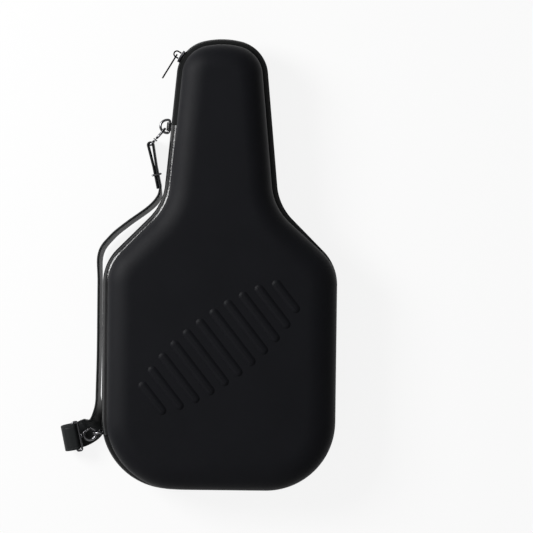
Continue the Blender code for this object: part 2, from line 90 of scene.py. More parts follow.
class Term:
    """A node socket that takes part in Python arithmetic."""

    def __init__(self, graph: Graph, socket: bpy.types.NodeSocket) -> None:
        """Wraps a socket.

        Args:
            graph: Node graph that new nodes go into.
            socket: Output socket that the term stands for.
        """
        self.graph = graph
        self.socket = socket

    def apply(self, operation: str, *others: Any) -> Term:
        """Adds a Math node.

        Args:
            operation: Name of the Math node's operation.
            others: Further operands, terms or numbers.

        Returns:
            The node's result.
        """
        return self.graph.node("ShaderNodeMath", {"operation": operation},
                               dict(enumerate((self, *others))))

    def __add__(self, other: Any) -> Term:
        """Sum."""
        return self.apply("ADD", other)

    __radd__ = __add__

    def __mul__(self, other: Any) -> Term:
        """Product."""
        return self.apply("MULTIPLY", other)

    __rmul__ = __mul__

    def __sub__(self, other: Any) -> Term:
        """Difference."""
        return self.apply("SUBTRACT", other)

    def __rsub__(self, other: Any) -> Term:
        """Difference from a number."""
        return self.graph.node("ShaderNodeMath", {"operation": "SUBTRACT"}, {0: other, 1: self})

    def __abs__(self) -> Term:
        """Absolute value."""
        return self.apply("ABSOLUTE")

    def below(self, edge: float, soft: float) -> Term:
        """1 under an edge and 0 over it, with a soft step.

        Args:
            edge: Value at which the step is half way.
            soft: Width of the step.

        Returns:
            The stepped term.
        """
        return self.graph.node("ShaderNodeMapRange", {"interpolation_type": "SMOOTHSTEP"},
                               {"Value": self, "From Min": edge - soft / 2,
                                "From Max": edge + soft / 2, "To Min": 1.0, "To Max": 0.0})


class Graph:
    """A material's node graph with a Principled shader."""

    def __init__(self, name: str) -> None:
        """Starts a material.

        Args:
            name: Name of the material.
        """
        self.material = bpy.data.materials.new(name)
        self.material.use_nodes = True
        self.tree = self.material.node_tree
        self.shader = self.tree.nodes["Principled BSDF"]

    def node(self, kind: str, settings: dict[str, Any] | None = None,
             sockets: dict[Any, Any] | None = None, output: Any = 0) -> Term:
        """Adds a node, sets it up and links it.

        Args:
            kind: Node type.
            settings: Properties, set before the sockets.
            sockets: Values or terms for the inputs, by name or number.
            output: Name or number of the output that is returned.

        Returns:
            The chosen output.
        """
        node = self.tree.nodes.new(kind)
        for key, value in (settings or {}).items():
            setattr(node, key, value)
        for key, value in (sockets or {}).items():
            self.feed(node.inputs[key], value)
        return Term(self, node.outputs[output])

    def feed(self, socket: bpy.types.NodeSocket, value: Any) -> None:
        """Gives an input a constant or a link.

        Args:
            socket: Input to fill.
            value: Number, colour, vector or term.
        """
        if isinstance(value, Term):
            self.tree.links.new(value.socket, socket)
        else:
            socket.default_value = value

    def surface(self, **sockets: Any) -> None:
        """Fills the shader's inputs.

        Args:
            sockets: Values or terms by input name, with _ for a space.
        """
        for key, value in sockets.items():
            self.feed(self.shader.inputs[key.replace("_", " ")], value)

    def axes(self) -> tuple[Term, Term, Term]:
        """The three Object coordinates, in metres."""
        place = self.node("ShaderNodeTexCoord", output="Object")
        return tuple(self.node("ShaderNodeSeparateXYZ", sockets={0: place}, output=k)
                     for k in range(3))

    def noise(self, scale: float, detail: float = 3.0, roughness: float = 0.5) -> Term:
        """Noise over Object coordinates.

        Args:
            scale: Grains to a metre.
            detail: Octaves of detail.
            roughness: Weight of the finer octaves.

        Returns:
            Values around 0.5.
        """
        place = self.node("ShaderNodeTexCoord", output="Object")
        return self.node("ShaderNodeTexNoise", sockets={"Vector": place, "Scale": scale,
                                                        "Detail": detail, "Roughness": roughness})

    def bump(self, height: Term, strength: float, distance: float) -> Term:
        """Normal from a height.

        Args:
            height: Height term.
            strength: Share of the effect.
            distance: Real height of a step of 1, in metres.

        Returns:
            A normal for the shader.
        """
        return self.node("ShaderNodeBump", sockets={"Height": height, "Strength": strength,
                                                    "Distance": distance})

    def blend(self, share: Term, first: Colour, second: Colour) -> Term:
        """Mixes two colours.

        Args:
            share: 0 for the first colour, 1 for the second.
            first: Colour at 0.
            second: Colour at 1.

        Returns:
            The mixed colour.
        """
        return self.node("ShaderNodeMix", {"data_type": "RGBA"},
                         {"Factor": share, MIX_FIRST: (*first, 1.0), MIX_SECOND: (*second, 1.0)},
                         MIX_RESULT)


@dataclass(frozen=True)
class Weave:
    """Woven fabric with crossing threads."""

    name: str
    slot: str
    dark: Colour
    light: Colour
    pitch: float
    relief: float = 0.00012
    roughness: float = 0.56
    specular: float = 0.15
    sheen: float = 0.03
    sheen_roughness: float = 0.5
    wander: float = 1.2
    wander_scale: float = 90.0
    warp_lean: float = 0.83
    weft_lean: float = 0.71
    fibre_scale: float = 2600.0
    cloud_scale: float = 22.0

    def material(self) -> bpy.types.Material:
        """Builds the material.

        Returns:
            The woven fabric.
        """
        g = Graph(self.name)
        x, y, z = g.axes()
        turn = FULL_TURN / self.pitch
        wander = g.noise(self.wander_scale, 2.0) * self.wander
        warp = ((x + z * self.warp_lean) * turn + wander).apply("SINE")
        weft = ((y + z * self.weft_lean) * turn + wander).apply("SINE")
        threads = warp * weft * 0.5 + 0.5
        fibre = g.noise(self.fibre_scale, 2.0)
        cloud = g.noise(self.cloud_scale, 4.0, 0.6)
        share = threads * 0.60 + fibre * 0.45 + cloud * 0.40 - 0.22
        height = threads * 0.7 + fibre * 0.5
        rough = cloud * 0.12 + (self.roughness - 0.06)
        g.surface(Base_Color=g.blend(share, self.dark, self.light), Roughness=rough,
                  Normal=g.bump(height, 0.8, self.relief))
        g.surface(Sheen_Weight=self.sheen, Sheen_Roughness=self.sheen_roughness,
                  Specular_IOR_Level=self.specular)
        return g.material


@dataclass(frozen=True)
class Leather:
    """Glossy coated leather with a fine grain, and rows of stitches where the strip has them."""

    name: str
    slot: str
    dark: Colour = (0.0040, 0.0042, 0.0045)
    light: Colour = (0.0110, 0.0112, 0.0118)
    grain: float = 1400.0
    grain_smoothness: float = 0.6
    fold_scale: float = 130.0
    cloud_scale: float = 35.0
    crease: float = 0.0
    relief: float = 0.00022
    roughness: float = 0.30
    specular: float = 0.34
    ior: float = 1.45
    stitch_offset: float | None = None
    stitch_pitch: float = 0.0040
    stitch_half: float = 0.00042
    stitch_soft: float = 0.0002
    stitch_break: float = -0.55
    break_soft: float = 0.25
    valley_half: float = 0.0011
    valley_soft: float = 0.0012

    def material(self) -> bpy.types.Material:
        """Builds the material.

        Returns:
            The leather.
        """
        g = Graph(self.name)
        place = g.node("ShaderNodeTexCoord", output="Object")
        cells = g.node("ShaderNodeTexVoronoi", {"feature": "SMOOTH_F1"},
                       {"Vector": place, "Scale": self.grain, "Smoothness": self.grain_smoothness})
        folds = g.noise(self.fold_scale, 4.0, 0.55)
        cloud = g.noise(self.cloud_scale, 3.0)
        height = cells * 0.5 + folds * (0.8 + self.crease)
        share = cells * 0.4 + cloud * 0.5 - 0.1
        rough = cloud * 0.16 + folds * 0.10 + (self.roughness - 0.12)
        if self.stitch_offset is not None:
            run = g.node("ShaderNodeUVMap", {"uv_map": "strip"})
            u = g.node("ShaderNodeSeparateXYZ", sockets={0: run}, output=0)
            v = g.node("ShaderNodeSeparateXYZ", sockets={0: run}, output=1)
            row = abs(abs(v) - self.stitch_offset)
            dash = (u * (FULL_TURN / self.stitch_pitch)).apply("SINE")
            stitched = 1 - dash.below(self.stitch_break, self.break_soft)
            thread = row.below(self.stitch_half, self.stitch_soft) * stitched
            valley = row.below(self.valley_half, self.valley_soft)
            height = height + thread * 2.4 - valley * 1.8
            share = share + thread * 0.7
            rough = rough + thread * 0.25
        g.surface(Base_Color=g.blend(share, self.dark, self.light), Roughness=rough,
                  Normal=g.bump(height, 0.55, self.relief))
        g.surface(Specular_IOR_Level=self.specular, IOR=self.ior)
        return g.material


@dataclass(frozen=True)
class DarkNickel:
    """Plated metal, dark and glossy, with faint handling marks."""

    name: str = "dark_nickel"
    slot: str = "dark_metal"
    colour: Colour = (0.20, 0.20, 0.21)
    worn: Colour = (0.42, 0.41, 0.40)
    roughness: float = 0.24
    edge: float = 0.5
    mark_scale: float = 420.0
    cloud_scale: float = 70.0
    relief: float = 0.00006

    def material(self) -> bpy.types.Material:
        """Builds the material.

        Returns:
            The plated metal.
        """
        g = Graph(self.name)
        marks = g.noise(self.mark_scale, 5.0, 0.65)
        cloud = g.noise(self.cloud_scale, 2.0)
        share = (marks - 0.58) * 2.4
        g.surface(Base_Color=g.blend(share, self.colour, self.worn),
                  Roughness=cloud * 0.12 + marks * 0.10 + (self.roughness - 0.10),
                  Normal=g.bump(marks, 0.12, self.relief))
        g.surface(Metallic=1.0, Specular_Tint=(self.edge, self.edge, self.edge, 1.0))
        return g.material


@dataclass(frozen=True)
class CoilNylon:
    """Satin nylon of the zip teeth."""

    name: str = "coil_nylon"
    slot: str = "zip_coil"
    colour: Colour = (0.020, 0.020, 0.021)
    light: Colour = (0.050, 0.050, 0.052)
    roughness: float = 0.32
    mark_scale: float = 900.0
    relief: float = 0.00005

    def material(self) -> bpy.types.Material:
        """Builds the material.

        Returns:
            The nylon.
        """
        g = Graph(self.name)
        marks = g.noise(self.mark_scale, 3.0)
        g.surface(Base_Color=g.blend(marks, self.colour, self.light),
                  Roughness=marks * 0.2 + self.roughness,
                  Normal=g.bump(marks, 0.2, self.relief))
        return g.material


class Skin:
    """A surface grown by extruding one edge loop from ring to ring."""

    def __init__(self, ring: Sequence[Vector]) -> None:
        """Starts the surface.

        Args:
            ring: Points of the first closed ring.
        """
        self.bm = bmesh.new()
        verts = [self.bm.verts.new(point) for point in ring]
        self.rings = [verts]
        self.first = [self.bm.edges.new(pair) for pair in zip(verts, verts[1:] + verts[:1])]
        self.edges = list(self.first)
        self.spots: dict[bmesh.types.BMVert, tuple[float, float]] = {}

    def grow(self, ring: Sequence[Vector]) -> None:
        """Extrudes the open end to a new ring.

        Args:
            ring: As many points as the first ring has.
        """
        grown = bmesh.ops.extrude_edge_only(self.bm, edges=self.edges)["geom"]
        fresh = {part for part in grown if isinstance(part, bmesh.types.BMVert)}
        verts = []
        for old, place in zip(self.rings[-1], ring):
            new = next(e.other_vert(old) for e in old.link_edges if e.other_vert(old) in fresh)
            new.co = place
            verts.append(new)
        self.rings.append(verts)
        self.edges = [part for part in grown if isinstance(part, bmesh.types.BMEdge)
                      and all(v in fresh for v in part.verts)]

    def cap(self) -> None:
        """Fills both end rings."""
        bmesh.ops.edgeloop_fill(self.bm, edges=self.first + self.edges)

    def close(self) -> None:
        """Joins the last ring to the first."""
        bmesh.ops.bridge_loops(self.bm, edges=self.first + self.edges)

    def join(self, other: Skin) -> Skin:
        """Takes another surface into this one.

        Args:
            other: Surface that is used up.

        Returns:
            This surface.
        """
        carrier = bpy.data.meshes.new("carrier")
        other.bm.to_mesh(carrier)
        other.bm.free()
        self.bm.from_mesh(carrier)
        bpy.data.meshes.remove(carrier)
        return self

    def chamfer(self, angle: float, width: float, segments: int) -> None:
        """Rounds the edges that turn more than an angle.

        Args:
            angle: Least turn, in radians.
            width: Width of the rounding.
            segments: Steps across it.
        """
        self.bm.normal_update()
        sharp = [e for e in self.bm.edges
                 if len(e.link_faces) == 2 and e.calc_face_angle(0.0) > angle]
        bmesh.ops.bevel(self.bm, geom=sharp, offset=width, offset_type="OFFSET", affect="EDGES",
                        segments=segments, profile=0.5, material=-1, clamp_overlap=True)


def skin_over(rings: Sequence[Sequence[Vector]], closed: bool = False) -> Skin:
    """Skins rings into a closed solid.

    Args:
        rings: Rings of equally many points.
        closed: Whether the last ring joins the first.

    Returns:
        The skinned surface.
    """
    skin = Skin(rings[0])
    for ring in rings[1:]:
        skin.grow(ring)
    if closed:
        skin.close()
    else:
        skin.cap()
    return skin


def wire_skin(points: Sequence[Vector], radii: Sequence[float], closed: bool = False,
              sides: int = 14) -> Skin:
    """Skins a round wire along points, whose cross-section doesn't twist.

    Args:
        points: Points of the wire's centre line.
        radii: Radius at each point.
        closed: Whether the wire closes on itself.
        sides: Points round the wire.

    Returns:
        The wire's surface.
    """
    count = len(points)
    rings = []
    across: Vector | None = None
    for k, point in enumerate(points):
        after = points[(k + 1) % count] if closed else points[min(k + 1, count - 1)]
        before = points[(k - 1) % count] if closed else points[max(k - 1, 0)]
        way = (after - before).normalized()
        if across is None:
            across = way.orthogonal()
        across = (across - way * across.dot(way)).normalized()
        other = way.cross(across)
        rings.append([point + radii[k] * (across * math.cos(a) + other * math.sin(a))
                      for a in (FULL_TURN * s / sides for s in range(sides))])
    return skin_over(rings, closed)


def strip_skin(centres: Sequence[Vector], widths: Sequence[Vector], width: float,
               thickness: float) -> Skin:
    """Skins a flat strip with rounded edges, and keeps its run and width as a map for stitches.

    Args:
        centres: Points of the strip's middle line.
        widths: Direction of the strip's width at each point.
        width: Full width.
        thickness: Full thickness.

    Returns:
        The strip's surface.
    """
    half, round_off = width / 2, thickness * STRIP_ROUNDING
    section = []
    for a, b in ((1, 1), (-1, 1), (-1, -1), (1, -1)):
        for turn in STRIP_TURNS:
            t = math.radians(turn if a == b else 90 - turn)
            section.append((a * (half - round_off + round_off * math.cos(t)),
                            b * (thickness / 2 - round_off + round_off * math.sin(t))))
        if a == b:
            section += [(a * half * s, b * thickness / 2) for s in STRIP_SHARES]
    rings, runs, run = [], [], 0.0
    for k, centre in enumerate(centres):
        way = (centres[min(k + 1, len(centres) - 1)] - centres[max(k - 1, 0)]).normalized()
        across = (widths[k] - way * widths[k].dot(way)).normalized()
        face = way.cross(across)
        rings.append([centre + across * a + face * b for a, b in section])
        run += (centre - centres[k - 1]).length if k else 0.0
        runs.append(run)
    skin = skin_over(rings)
    for ring, place in zip(skin.rings, runs):
        for vert, (a, _) in zip(ring, section):
            skin.spots[vert] = (place, a)
    return skin


def span(first: float, last: float, steps: int) -> list[float]:
    """Evenly spaced values.

    Args:
        first: First value.
        last: Last value.
        steps: Steps between them.

    Returns:
        The values, both ends included.
    """
    return [first + (last - first) * k / steps for k in range(steps + 1)]


def eased(share: float) -> float:
    """A share from 0 to 1 that starts and ends gently."""
    share = min(1.0, max(0.0, share))
    return share * share * (3 - 2 * share)


def heading(angle: float) -> Vector:
    """Unit vector in the plan at an angle from +X."""
    return Vector((math.cos(angle), math.sin(angle), 0.0))


def corner_arc(centre: Vector, first: Vector, second: Vector, radius: float, start: float,
               steps: int) -> list[Vector]:
    """Quarter of a circle, for the corner of a wire frame.

    Args:
        centre: Centre of the corner.
        first: Direction of the circle's angle 0.
        second: Direction of its angle 90.
        radius: Radius of the corner.
        start: Angle at which the quarter starts, in degrees.
        steps: Steps along it.

    Returns:
        Points of the corner.
    """
    turns = [math.radians(t) for t in span(start, start + 90, steps)]
    return [centre + radius * (first * math.cos(a) + second * math.sin(a)) for a in turns]


def smooth_route(points: Sequence[Vector], steps: int) -> list[Vector]:
    """A smooth curve through points.

    Args:
        points: Points that the curve passes.
        steps: Steps between each pair.

    Returns:
        Points of the curve.
    """
    ends = [2 * points[0] - points[1], *points, 2 * points[-1] - points[-2]]
    route = []
    for a, b, c, d in zip(ends, ends[1:], ends[2:], ends[3:]):
        route += [0.5 * (2 * b + (c - a) * t + (2 * a - 5 * b + 4 * c - d) * t * t
                         + (3 * b - a - 3 * c + d) * t ** 3) for t in span(0.0, 1.0, steps)[:-1]]
    return route + [points[-1]]


class MaterialShelf:
    """Materials by finish, each built once."""

    def __init__(self) -> None:
        """Starts with an empty shelf."""
        self.built: dict[Any, bpy.types.Material] = {}

    def of(self, finish: Any) -> bpy.types.Material:
        """Takes a finish's material, which is built on first use.

        Args:
            finish: Finish with a material method.

        Returns:
            The material.
        """
        if finish not in self.built:
            self.built[finish] = finish.material()
        return self.built[finish]


MATERIALS = MaterialShelf()
SHELL = Weave("shell_weave", "shell_fabric", dark=(0.0014, 0.0016, 0.0026),
              light=(0.0064, 0.0068, 0.0096), pitch=0.0013)
LINING = Weave("lining_weave", "lining_fabric", dark=(0.020, 0.020, 0.022),
               light=(0.045, 0.045, 0.048), pitch=0.0016, relief=0.0002, roughness=0.85,
               specular=0.3, sheen=0.2)
TAPE = Weave("tape_weave", "zip_tape", dark=(0.0020, 0.0023, 0.0023),
             light=(0.0062, 0.0069, 0.0069), pitch=0.0009, relief=0.0001, roughness=0.66,
             specular=0.08, sheen=0.02)
SPINE = Leather("spine_leather", "strap_leather", grain=1100.0, roughness=0.22, crease=0.5,
                specular=0.6)
STRAP = Leather("strap_leather", "strap_leather", dark=(0.0095, 0.0108, 0.0112),
                light=(0.0215, 0.0232, 0.0240), roughness=0.48, stitch_offset=0.0109,
                specular=0.18)
TAB = Leather("tab_leather", "strap_leather", stitch_offset=0.0032, stitch_pitch=0.003)
NICKEL = DarkNickel()
BLACKED = DarkNickel("blackened_metal", colour=(0.010, 0.010, 0.011),
                     worn=(0.040, 0.040, 0.042), roughness=0.34, edge=0.08)
NYLON = CoilNylon()


def publish(name: str, skin: Skin, finish: Any, body: str, nodes: Sequence[str] = (),
            smooth: float = 40.0) -> None:
    """Makes a finished piece of a surface and lets it ride on a body.

    Args:
        name: Name of the piece.
        skin: Surface of the piece.
        finish: Finish with a material method and a slot.
        body: Body that the piece rides on.
        nodes: Solids that it stands for.
        smooth: Angle in degrees above which an edge stays sharp.
    """
    bm = skin.bm
    bmesh.ops.recalc_face_normals(bm, faces=bm.faces)
    if skin.spots:
        layer = bm.loops.layers.uv.new("strip")
        for face in bm.faces:
            for loop in face.loops:
                loop[layer].uv = skin.spots.get(loop.vert, (0.0, 0.0))
    mesh = bpy.data.meshes.new(name)
    bm.to_mesh(mesh)
    bm.free()
    mesh.shade_smooth()
    mesh.set_sharp_from_angle(angle=math.radians(smooth))
    mesh.materials.append(MATERIALS.of(finish))
    piece = bpy.data.objects.new(name, mesh)
    bpy.context.scene.collection.objects.link(piece)
    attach(piece, body)
    if nodes:
        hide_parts(*nodes)
    LOG.info("%s: %d faces on %s", name, len(mesh.polygons), body)


@dataclass(frozen=True)
class Station:
    """A point on the case's outermost edge with its outward direction."""

    point: Vector
    out: Vector

    def at(self, inset: float, height: float) -> Vector:
        """The point moved in from the edge and up to a height."""
        return self.point - self.out * inset + UP * height


@dataclass
class CaseOutline:
    """Outline of the closed case, from arcs and straight lines."""

    length: float = 0.446
    half_body: float = 0.116
    bottom_radius: float = 0.069
    side_length: float = 0.135
    shoulder_radius: float = 0.048
    slope: float = math.radians(45)
    flare_radius: float = 0.054
    half_neck: float = 0.0555
    taper: float = math.radians(5.4)
    corner_radius: float = 0.035
    cap_radius: float = 0.080
    upper_tab_rise: float = 0.0571
    lower_tab_angle: float = math.radians(11.5)
    end_gap: float = 0.0006
    mid: float = 0.030

    @property
    def corner_y(self) -> float:
        """Height of the bottom corners' centres along the case."""
        return self.bottom_radius - self.length / 2

    @property
    def side_top_y(self) -> float:
        """Upper end of the straight sides."""
        return self.corner_y + self.side_length

    @property
    def upper_tab_y(self) -> float:
        """Place of the upper ring tab along the case."""
        return self.flare()[0].y + self.upper_tab_rise

    @property
    def lower_tab_y(self) -> float:
        """Place of the lower ring tab along the case."""
        return self.corner_y - self.bottom_radius * math.sin(self.lower_tab_angle)

    def flare(self) -> tuple[Vector, Vector, Vector]:
        """Works out where the shoulder runs into the neck.

        Returns:
            Neck root, shoulder end and flare start, on the right side.
        """
        drawn = (self.shoulder_radius * (1 - math.cos(self.slope))
                 + self.flare_radius * (math.cos(self.taper) - math.cos(self.slope)))
        run = (self.half_body - self.half_neck - drawn) / math.sin(self.slope)
        start = (Vector((self.half_body - self.shoulder_radius, self.side_top_y, 0.0))
                 + self.shoulder_radius * heading(self.slope))
        end = start + run * heading(self.slope + QUARTER_TURN)
        return end + self.flare_radius * (heading(self.slope) - heading(self.taper)), start, end

    def corner_centre(self) -> Vector:
        """Works out where the neck's corner arc touches its side and its end.

        Returns:
            Centre of the right corner arc.
        """
        along = heading(self.taper + QUARTER_TURN)
        base = self.flare()[0] - self.corner_radius * heading(self.taper)
        offset = base - Vector((0.0, self.length / 2 - self.cap_radius, 0.0))
        reach = self.cap_radius - self.corner_radius
        half = offset.dot(along)
        return base + along * (-half + math.sqrt(half * half - offset.dot(offset) + reach * reach))

    def half(self, pitch: float) -> list[Station]:
        """Stations up the right side.

        Args:
            pitch: Greatest distance between stations.

        Returns:
            Stations from the bottom middle to the neck's end.
        """
        stations: list[Station] = []

        def line(start: Vector, end: Vector, angle: float) -> None:
            """Adds stations along a straight line that faces an angle."""
            steps = max(1, math.ceil((end - start).length / pitch))
            stations.extend(Station(start.lerp(end, t), heading(angle))
                            for t in span(0, 1, steps)[:-1])

        def arc(centre: Vector, radius: float, first: float, last: float) -> None:
            """Adds stations along an arc, which is hollow where its radius is negative."""
            steps = max(2, math.ceil(abs(radius * (last - first)) / pitch))
            stations.extend(Station(centre + radius * heading(a), heading(a))
                            for a in span(first, last, steps)[:-1])

        root, shoulder_end, flare_start = self.flare()
        foot_y = -self.length / 2
        corner = Vector((self.half_body - self.bottom_radius, self.corner_y, 0.0))
        side_top = Vector((self.half_body, self.side_top_y, 0.0))
        shoulder = side_top - Vector((self.shoulder_radius, 0.0, 0.0))
        hollow = flare_start + self.flare_radius * heading(self.slope)
        cap = self.corner_centre()
        middle = Vector((0.0, self.length / 2 - self.cap_radius, 0.0))
        turn = math.atan2(cap.y - middle.y, cap.x)
        line(Vector((0.0, foot_y, 0.0)), Vector((corner.x, foot_y, 0.0)), -QUARTER_TURN)
        arc(corner, self.bottom_radius, -QUARTER_TURN, 0.0)
        line(Vector((self.half_body, self.corner_y, 0.0)), side_top, 0.0)
        arc(shoulder, self.shoulder_radius, 0.0, self.slope)
        line(shoulder_end, flare_start, self.slope)
        arc(hollow, -self.flare_radius, self.slope, self.taper)
        line(root, cap + self.corner_radius * heading(self.taper), self.taper)
        arc(cap, self.corner_radius, self.taper, turn)
        arc(middle, self.cap_radius, turn, QUARTER_TURN)
        stations.append(Station(Vector((0.0, self.length / 2, 0.0)), heading(QUARTER_TURN)))
        return stations

    def around(self, pitch: float) -> list[Station]:
        """Stations all round, anticlockwise from the bottom middle.

        Args:
            pitch: Greatest distance between stations.

        Returns:
            A closed loop of stations.
        """
        right = self.half(pitch)
        flip = Matrix.Diagonal((-1.0, 1.0, 1.0))
        return right + [Station(flip @ s.point, flip @ s.out) for s in reversed(right[1:-1])]

    def paths(self, pitch: float) -> tuple[list[Station], list[Station]]:
        """The zip's and the spine's paths, which part at the two ring tabs.

        Args:
            pitch: Greatest distance between stations.

        Returns:
            The zip's stations and the spine's stations.
        """
        loop = self.around(pitch)
        left = [k for k, s in enumerate(loop) if s.point.x < 0]
        high_y = self.upper_tab_y
        upper = min(left, key=lambda k: abs(loop[k].point.y - high_y))
        lower = min(left, key=lambda k: abs(loop[k].point.y - self.lower_tab_y))
        return self.trim(loop[lower:] + loop[:upper + 1]), self.trim(loop[upper:lower + 1])

    def trim(self, path: list[Station]) -> list[Station]:
        """Draws the ends of a path back by the end gap.

        Args:
            path: Stations from end to end.

        Returns:
            The shorter path.
        """
        first, last = path[0], path[-1]
        start = Station(first.point + self.end_gap * UP.cross(first.out), first.out)
        end = Station(last.point - self.end_gap * UP.cross(last.out), last.out)
        return [start] + path[1:-1] + [end]


@dataclass
class ShellHalf:
    """One moulded half: woven shell, inner lining and the binding under its rim."""

    outline: CaseOutline
    side: Side
    wall: float = 0.004
    lining: float = 0.0008
    rim_inset: float = 0.007
    rim_rise: float = 0.006
    groove_rise: float = 0.009
    bulge_inset: float = 0.0055
    bulge_rise: float = 0.014
    crown_inset: float = 0.029
    body_swell: float = 0.005
    swell_ramp: float = 0.086
    face_margin: float = 0.0035
    bead: float = 0.0007
    groove_draw: float = 0.0004
    groove_step: float = 0.0014
    lip: Profile = ((0.0009, 0.0027), (0.0002, 0.0015))
    fit: float = 0.0003
    binding_width: float = 0.0042
    binding: float = 0.0008
    pitch: float = 0.0028
    outer_steps: int = 14
    inner_steps: int = 8

    def crown(self, inset: float, offset: float, steps: int) -> list[tuple[float, float]]:
        """Profile up the rounded side and onto the flat face.

        Args:
            inset: Distance in from the outline at the bottom of the side.
            offset: Depth under the shell's face.
            steps: Steps up the side.

        Returns:
            Insets and rises from the parting plane.
        """
        top = self.outline.mid - offset
        side = [(self.crown_inset - (self.crown_inset - inset) * math.cos(a),
                 self.bulge_rise + (top - self.bulge_rise) * math.sin(a))
                for a in span(0.0, QUARTER_TURN, steps)]
        return side + [(self.crown_inset + self.face_margin, top)]

    def rings(self, profile: Profile, swollen: bool = False) -> list[list[Vector]]:
        """Outline rings at each inset and rise of a profile.

        Args:
            profile: Insets and rises.
            swollen: Whether the profile stands out over the zip round the body.

        Returns:
            A ring of points for each entry.
        """
        stations = self.outline.around(self.pitch)
        root = self.outline.flare()[0].y
        reach = root - self.outline.side_top_y
        swells = [0.0] * len(stations)
        if swollen:
            swells = [self.body_swell * eased((root - s.point.y) / reach)
                      * eased((s.point.x + self.outline.half_body) / self.swell_ramp)
                      for s in stations]
        rings = []
        for inset, rise in profile:
            share = max(0.0, (self.crown_inset - inset) / (self.crown_inset - self.bulge_inset))
            height = self.outline.mid + self.side.value * rise
            rings.append([s.at(inset - swell * share, height)
                          for s, swell in zip(stations, swells)])
        return rings

    def dress(self, piece: str, skin: Skin, finish: Any, node: str) -> None:
        """Publishes a piece of this half, which stands for one of its solids."""
        name = self.side.prefix
        publish(f"{name}_{piece}", skin, finish, self.side.body, [f"{name}_{node}"], smooth=50.0)

    def build(self) -> None:
        """Builds the shell, the lining and the binding."""
        self.build_shell()
        self.build_lining()
        self.build_binding()

    def build_shell(self) -> None:
        """Builds the woven shell with its rim, groove and lip."""
        rim, rise, bead = self.rim_inset, self.rim_rise, self.bead
        inside = rim + self.wall
        foot = [(inside, rise + bead), (inside - bead, rise), (rim + bead, rise),
                (rim, rise + bead), (rim, self.groove_rise),
                (rim - self.groove_draw, self.groove_rise + self.groove_step)]
        lip = [(self.bulge_inset + inset, self.bulge_rise - drop) for inset, drop in self.lip]
        outer = lip + self.crown(self.bulge_inset, 0.0, self.outer_steps)
        inner = self.crown(inside, self.wall, self.inner_steps)
        rings = self.rings(inner[::-1] + foot) + self.rings(outer, swollen=True)
        self.dress("woven_shell", skin_over(rings), SHELL, "shell")

    def build_lining(self) -> None:
        """Builds the lining inside the shell."""
        back = self.wall + self.fit
        outer, inner = ([(self.rim_inset + depth, self.rim_rise)]
                        + self.crown(self.rim_inset + depth, depth, self.inner_steps)
                        for depth in (back, back + self.lining))
        self.dress("lining_cloth", skin_over(self.rings(outer[::-1] + inner)), LINING, "lining")

    def build_binding(self) -> None:
        """Builds the binding tape under the rim."""
        edge, top = self.rim_inset + self.fit, self.rim_rise - self.fit
        far, low = edge + self.binding_width, top - self.binding
        nip = self.binding / 3
        section = [(edge + nip, low), (far - nip, low), (far, low + nip), (far, top - nip),
                   (far - nip, top), (edge + nip, top), (edge, top - nip), (edge, low + nip)]
        self.dress("binding_tape", skin_over(self.rings(section), closed=True), TAPE, "binding")


@dataclass
class RibField:
    """Plain oval field of soft ribs moulded on the front face."""

    outline: CaseOutline
    centre_y: float = -0.080
    lean: float = math.radians(38)
    half_length: float = 0.100
    half_breadth: float = 0.035
    pitch: float = 0.0165
    half_width: float = 0.0046
    points: int = 32
    # Millimetres: how far a ring lies inside the rib's edge, and its rise over the face.
    swell: Profile = ((0.0, -0.3), (0.05, 0.0), (0.5, 0.21), (1.1, 0.56), (1.8, 0.90),
                      (2.6, 1.14), (3.4, 1.24))

    def build(self) -> None:
        """Builds the ribs, each as long as the oval leaves it."""
        along = heading(self.lean)
        across = UP.cross(along)
        turns = [FULL_TURN * (s + 0.5) / self.points for s in range(self.points)]
        count = int(self.half_length / self.pitch)
        ribs: Skin | None = None
        for k in range(-count, count + 1):
            place = k * self.pitch
            chord = self.half_breadth * math.sqrt(1 - (place / self.half_length) ** 2)
            reach = chord - self.half_width
            if reach < self.half_width / 2:
                continue
            middle = Vector((0.0, self.centre_y, 2 * self.outline.mid)) + along * place
            rings = []
            for trim, rise in self.swell:
                radius = self.half_width - trim / MM_PER_M
                rings.append([middle + UP * (rise / MM_PER_M)
                              + across * (math.copysign(reach, math.sin(a)) + radius * math.sin(a))
                              + along * radius * math.cos(a) for a in turns])
            rib = skin_over(rings)
            ribs = rib if ribs is None else ribs.join(rib)
        publish("raised_ribs", ribs, SHELL, "lid", smooth=60.0)


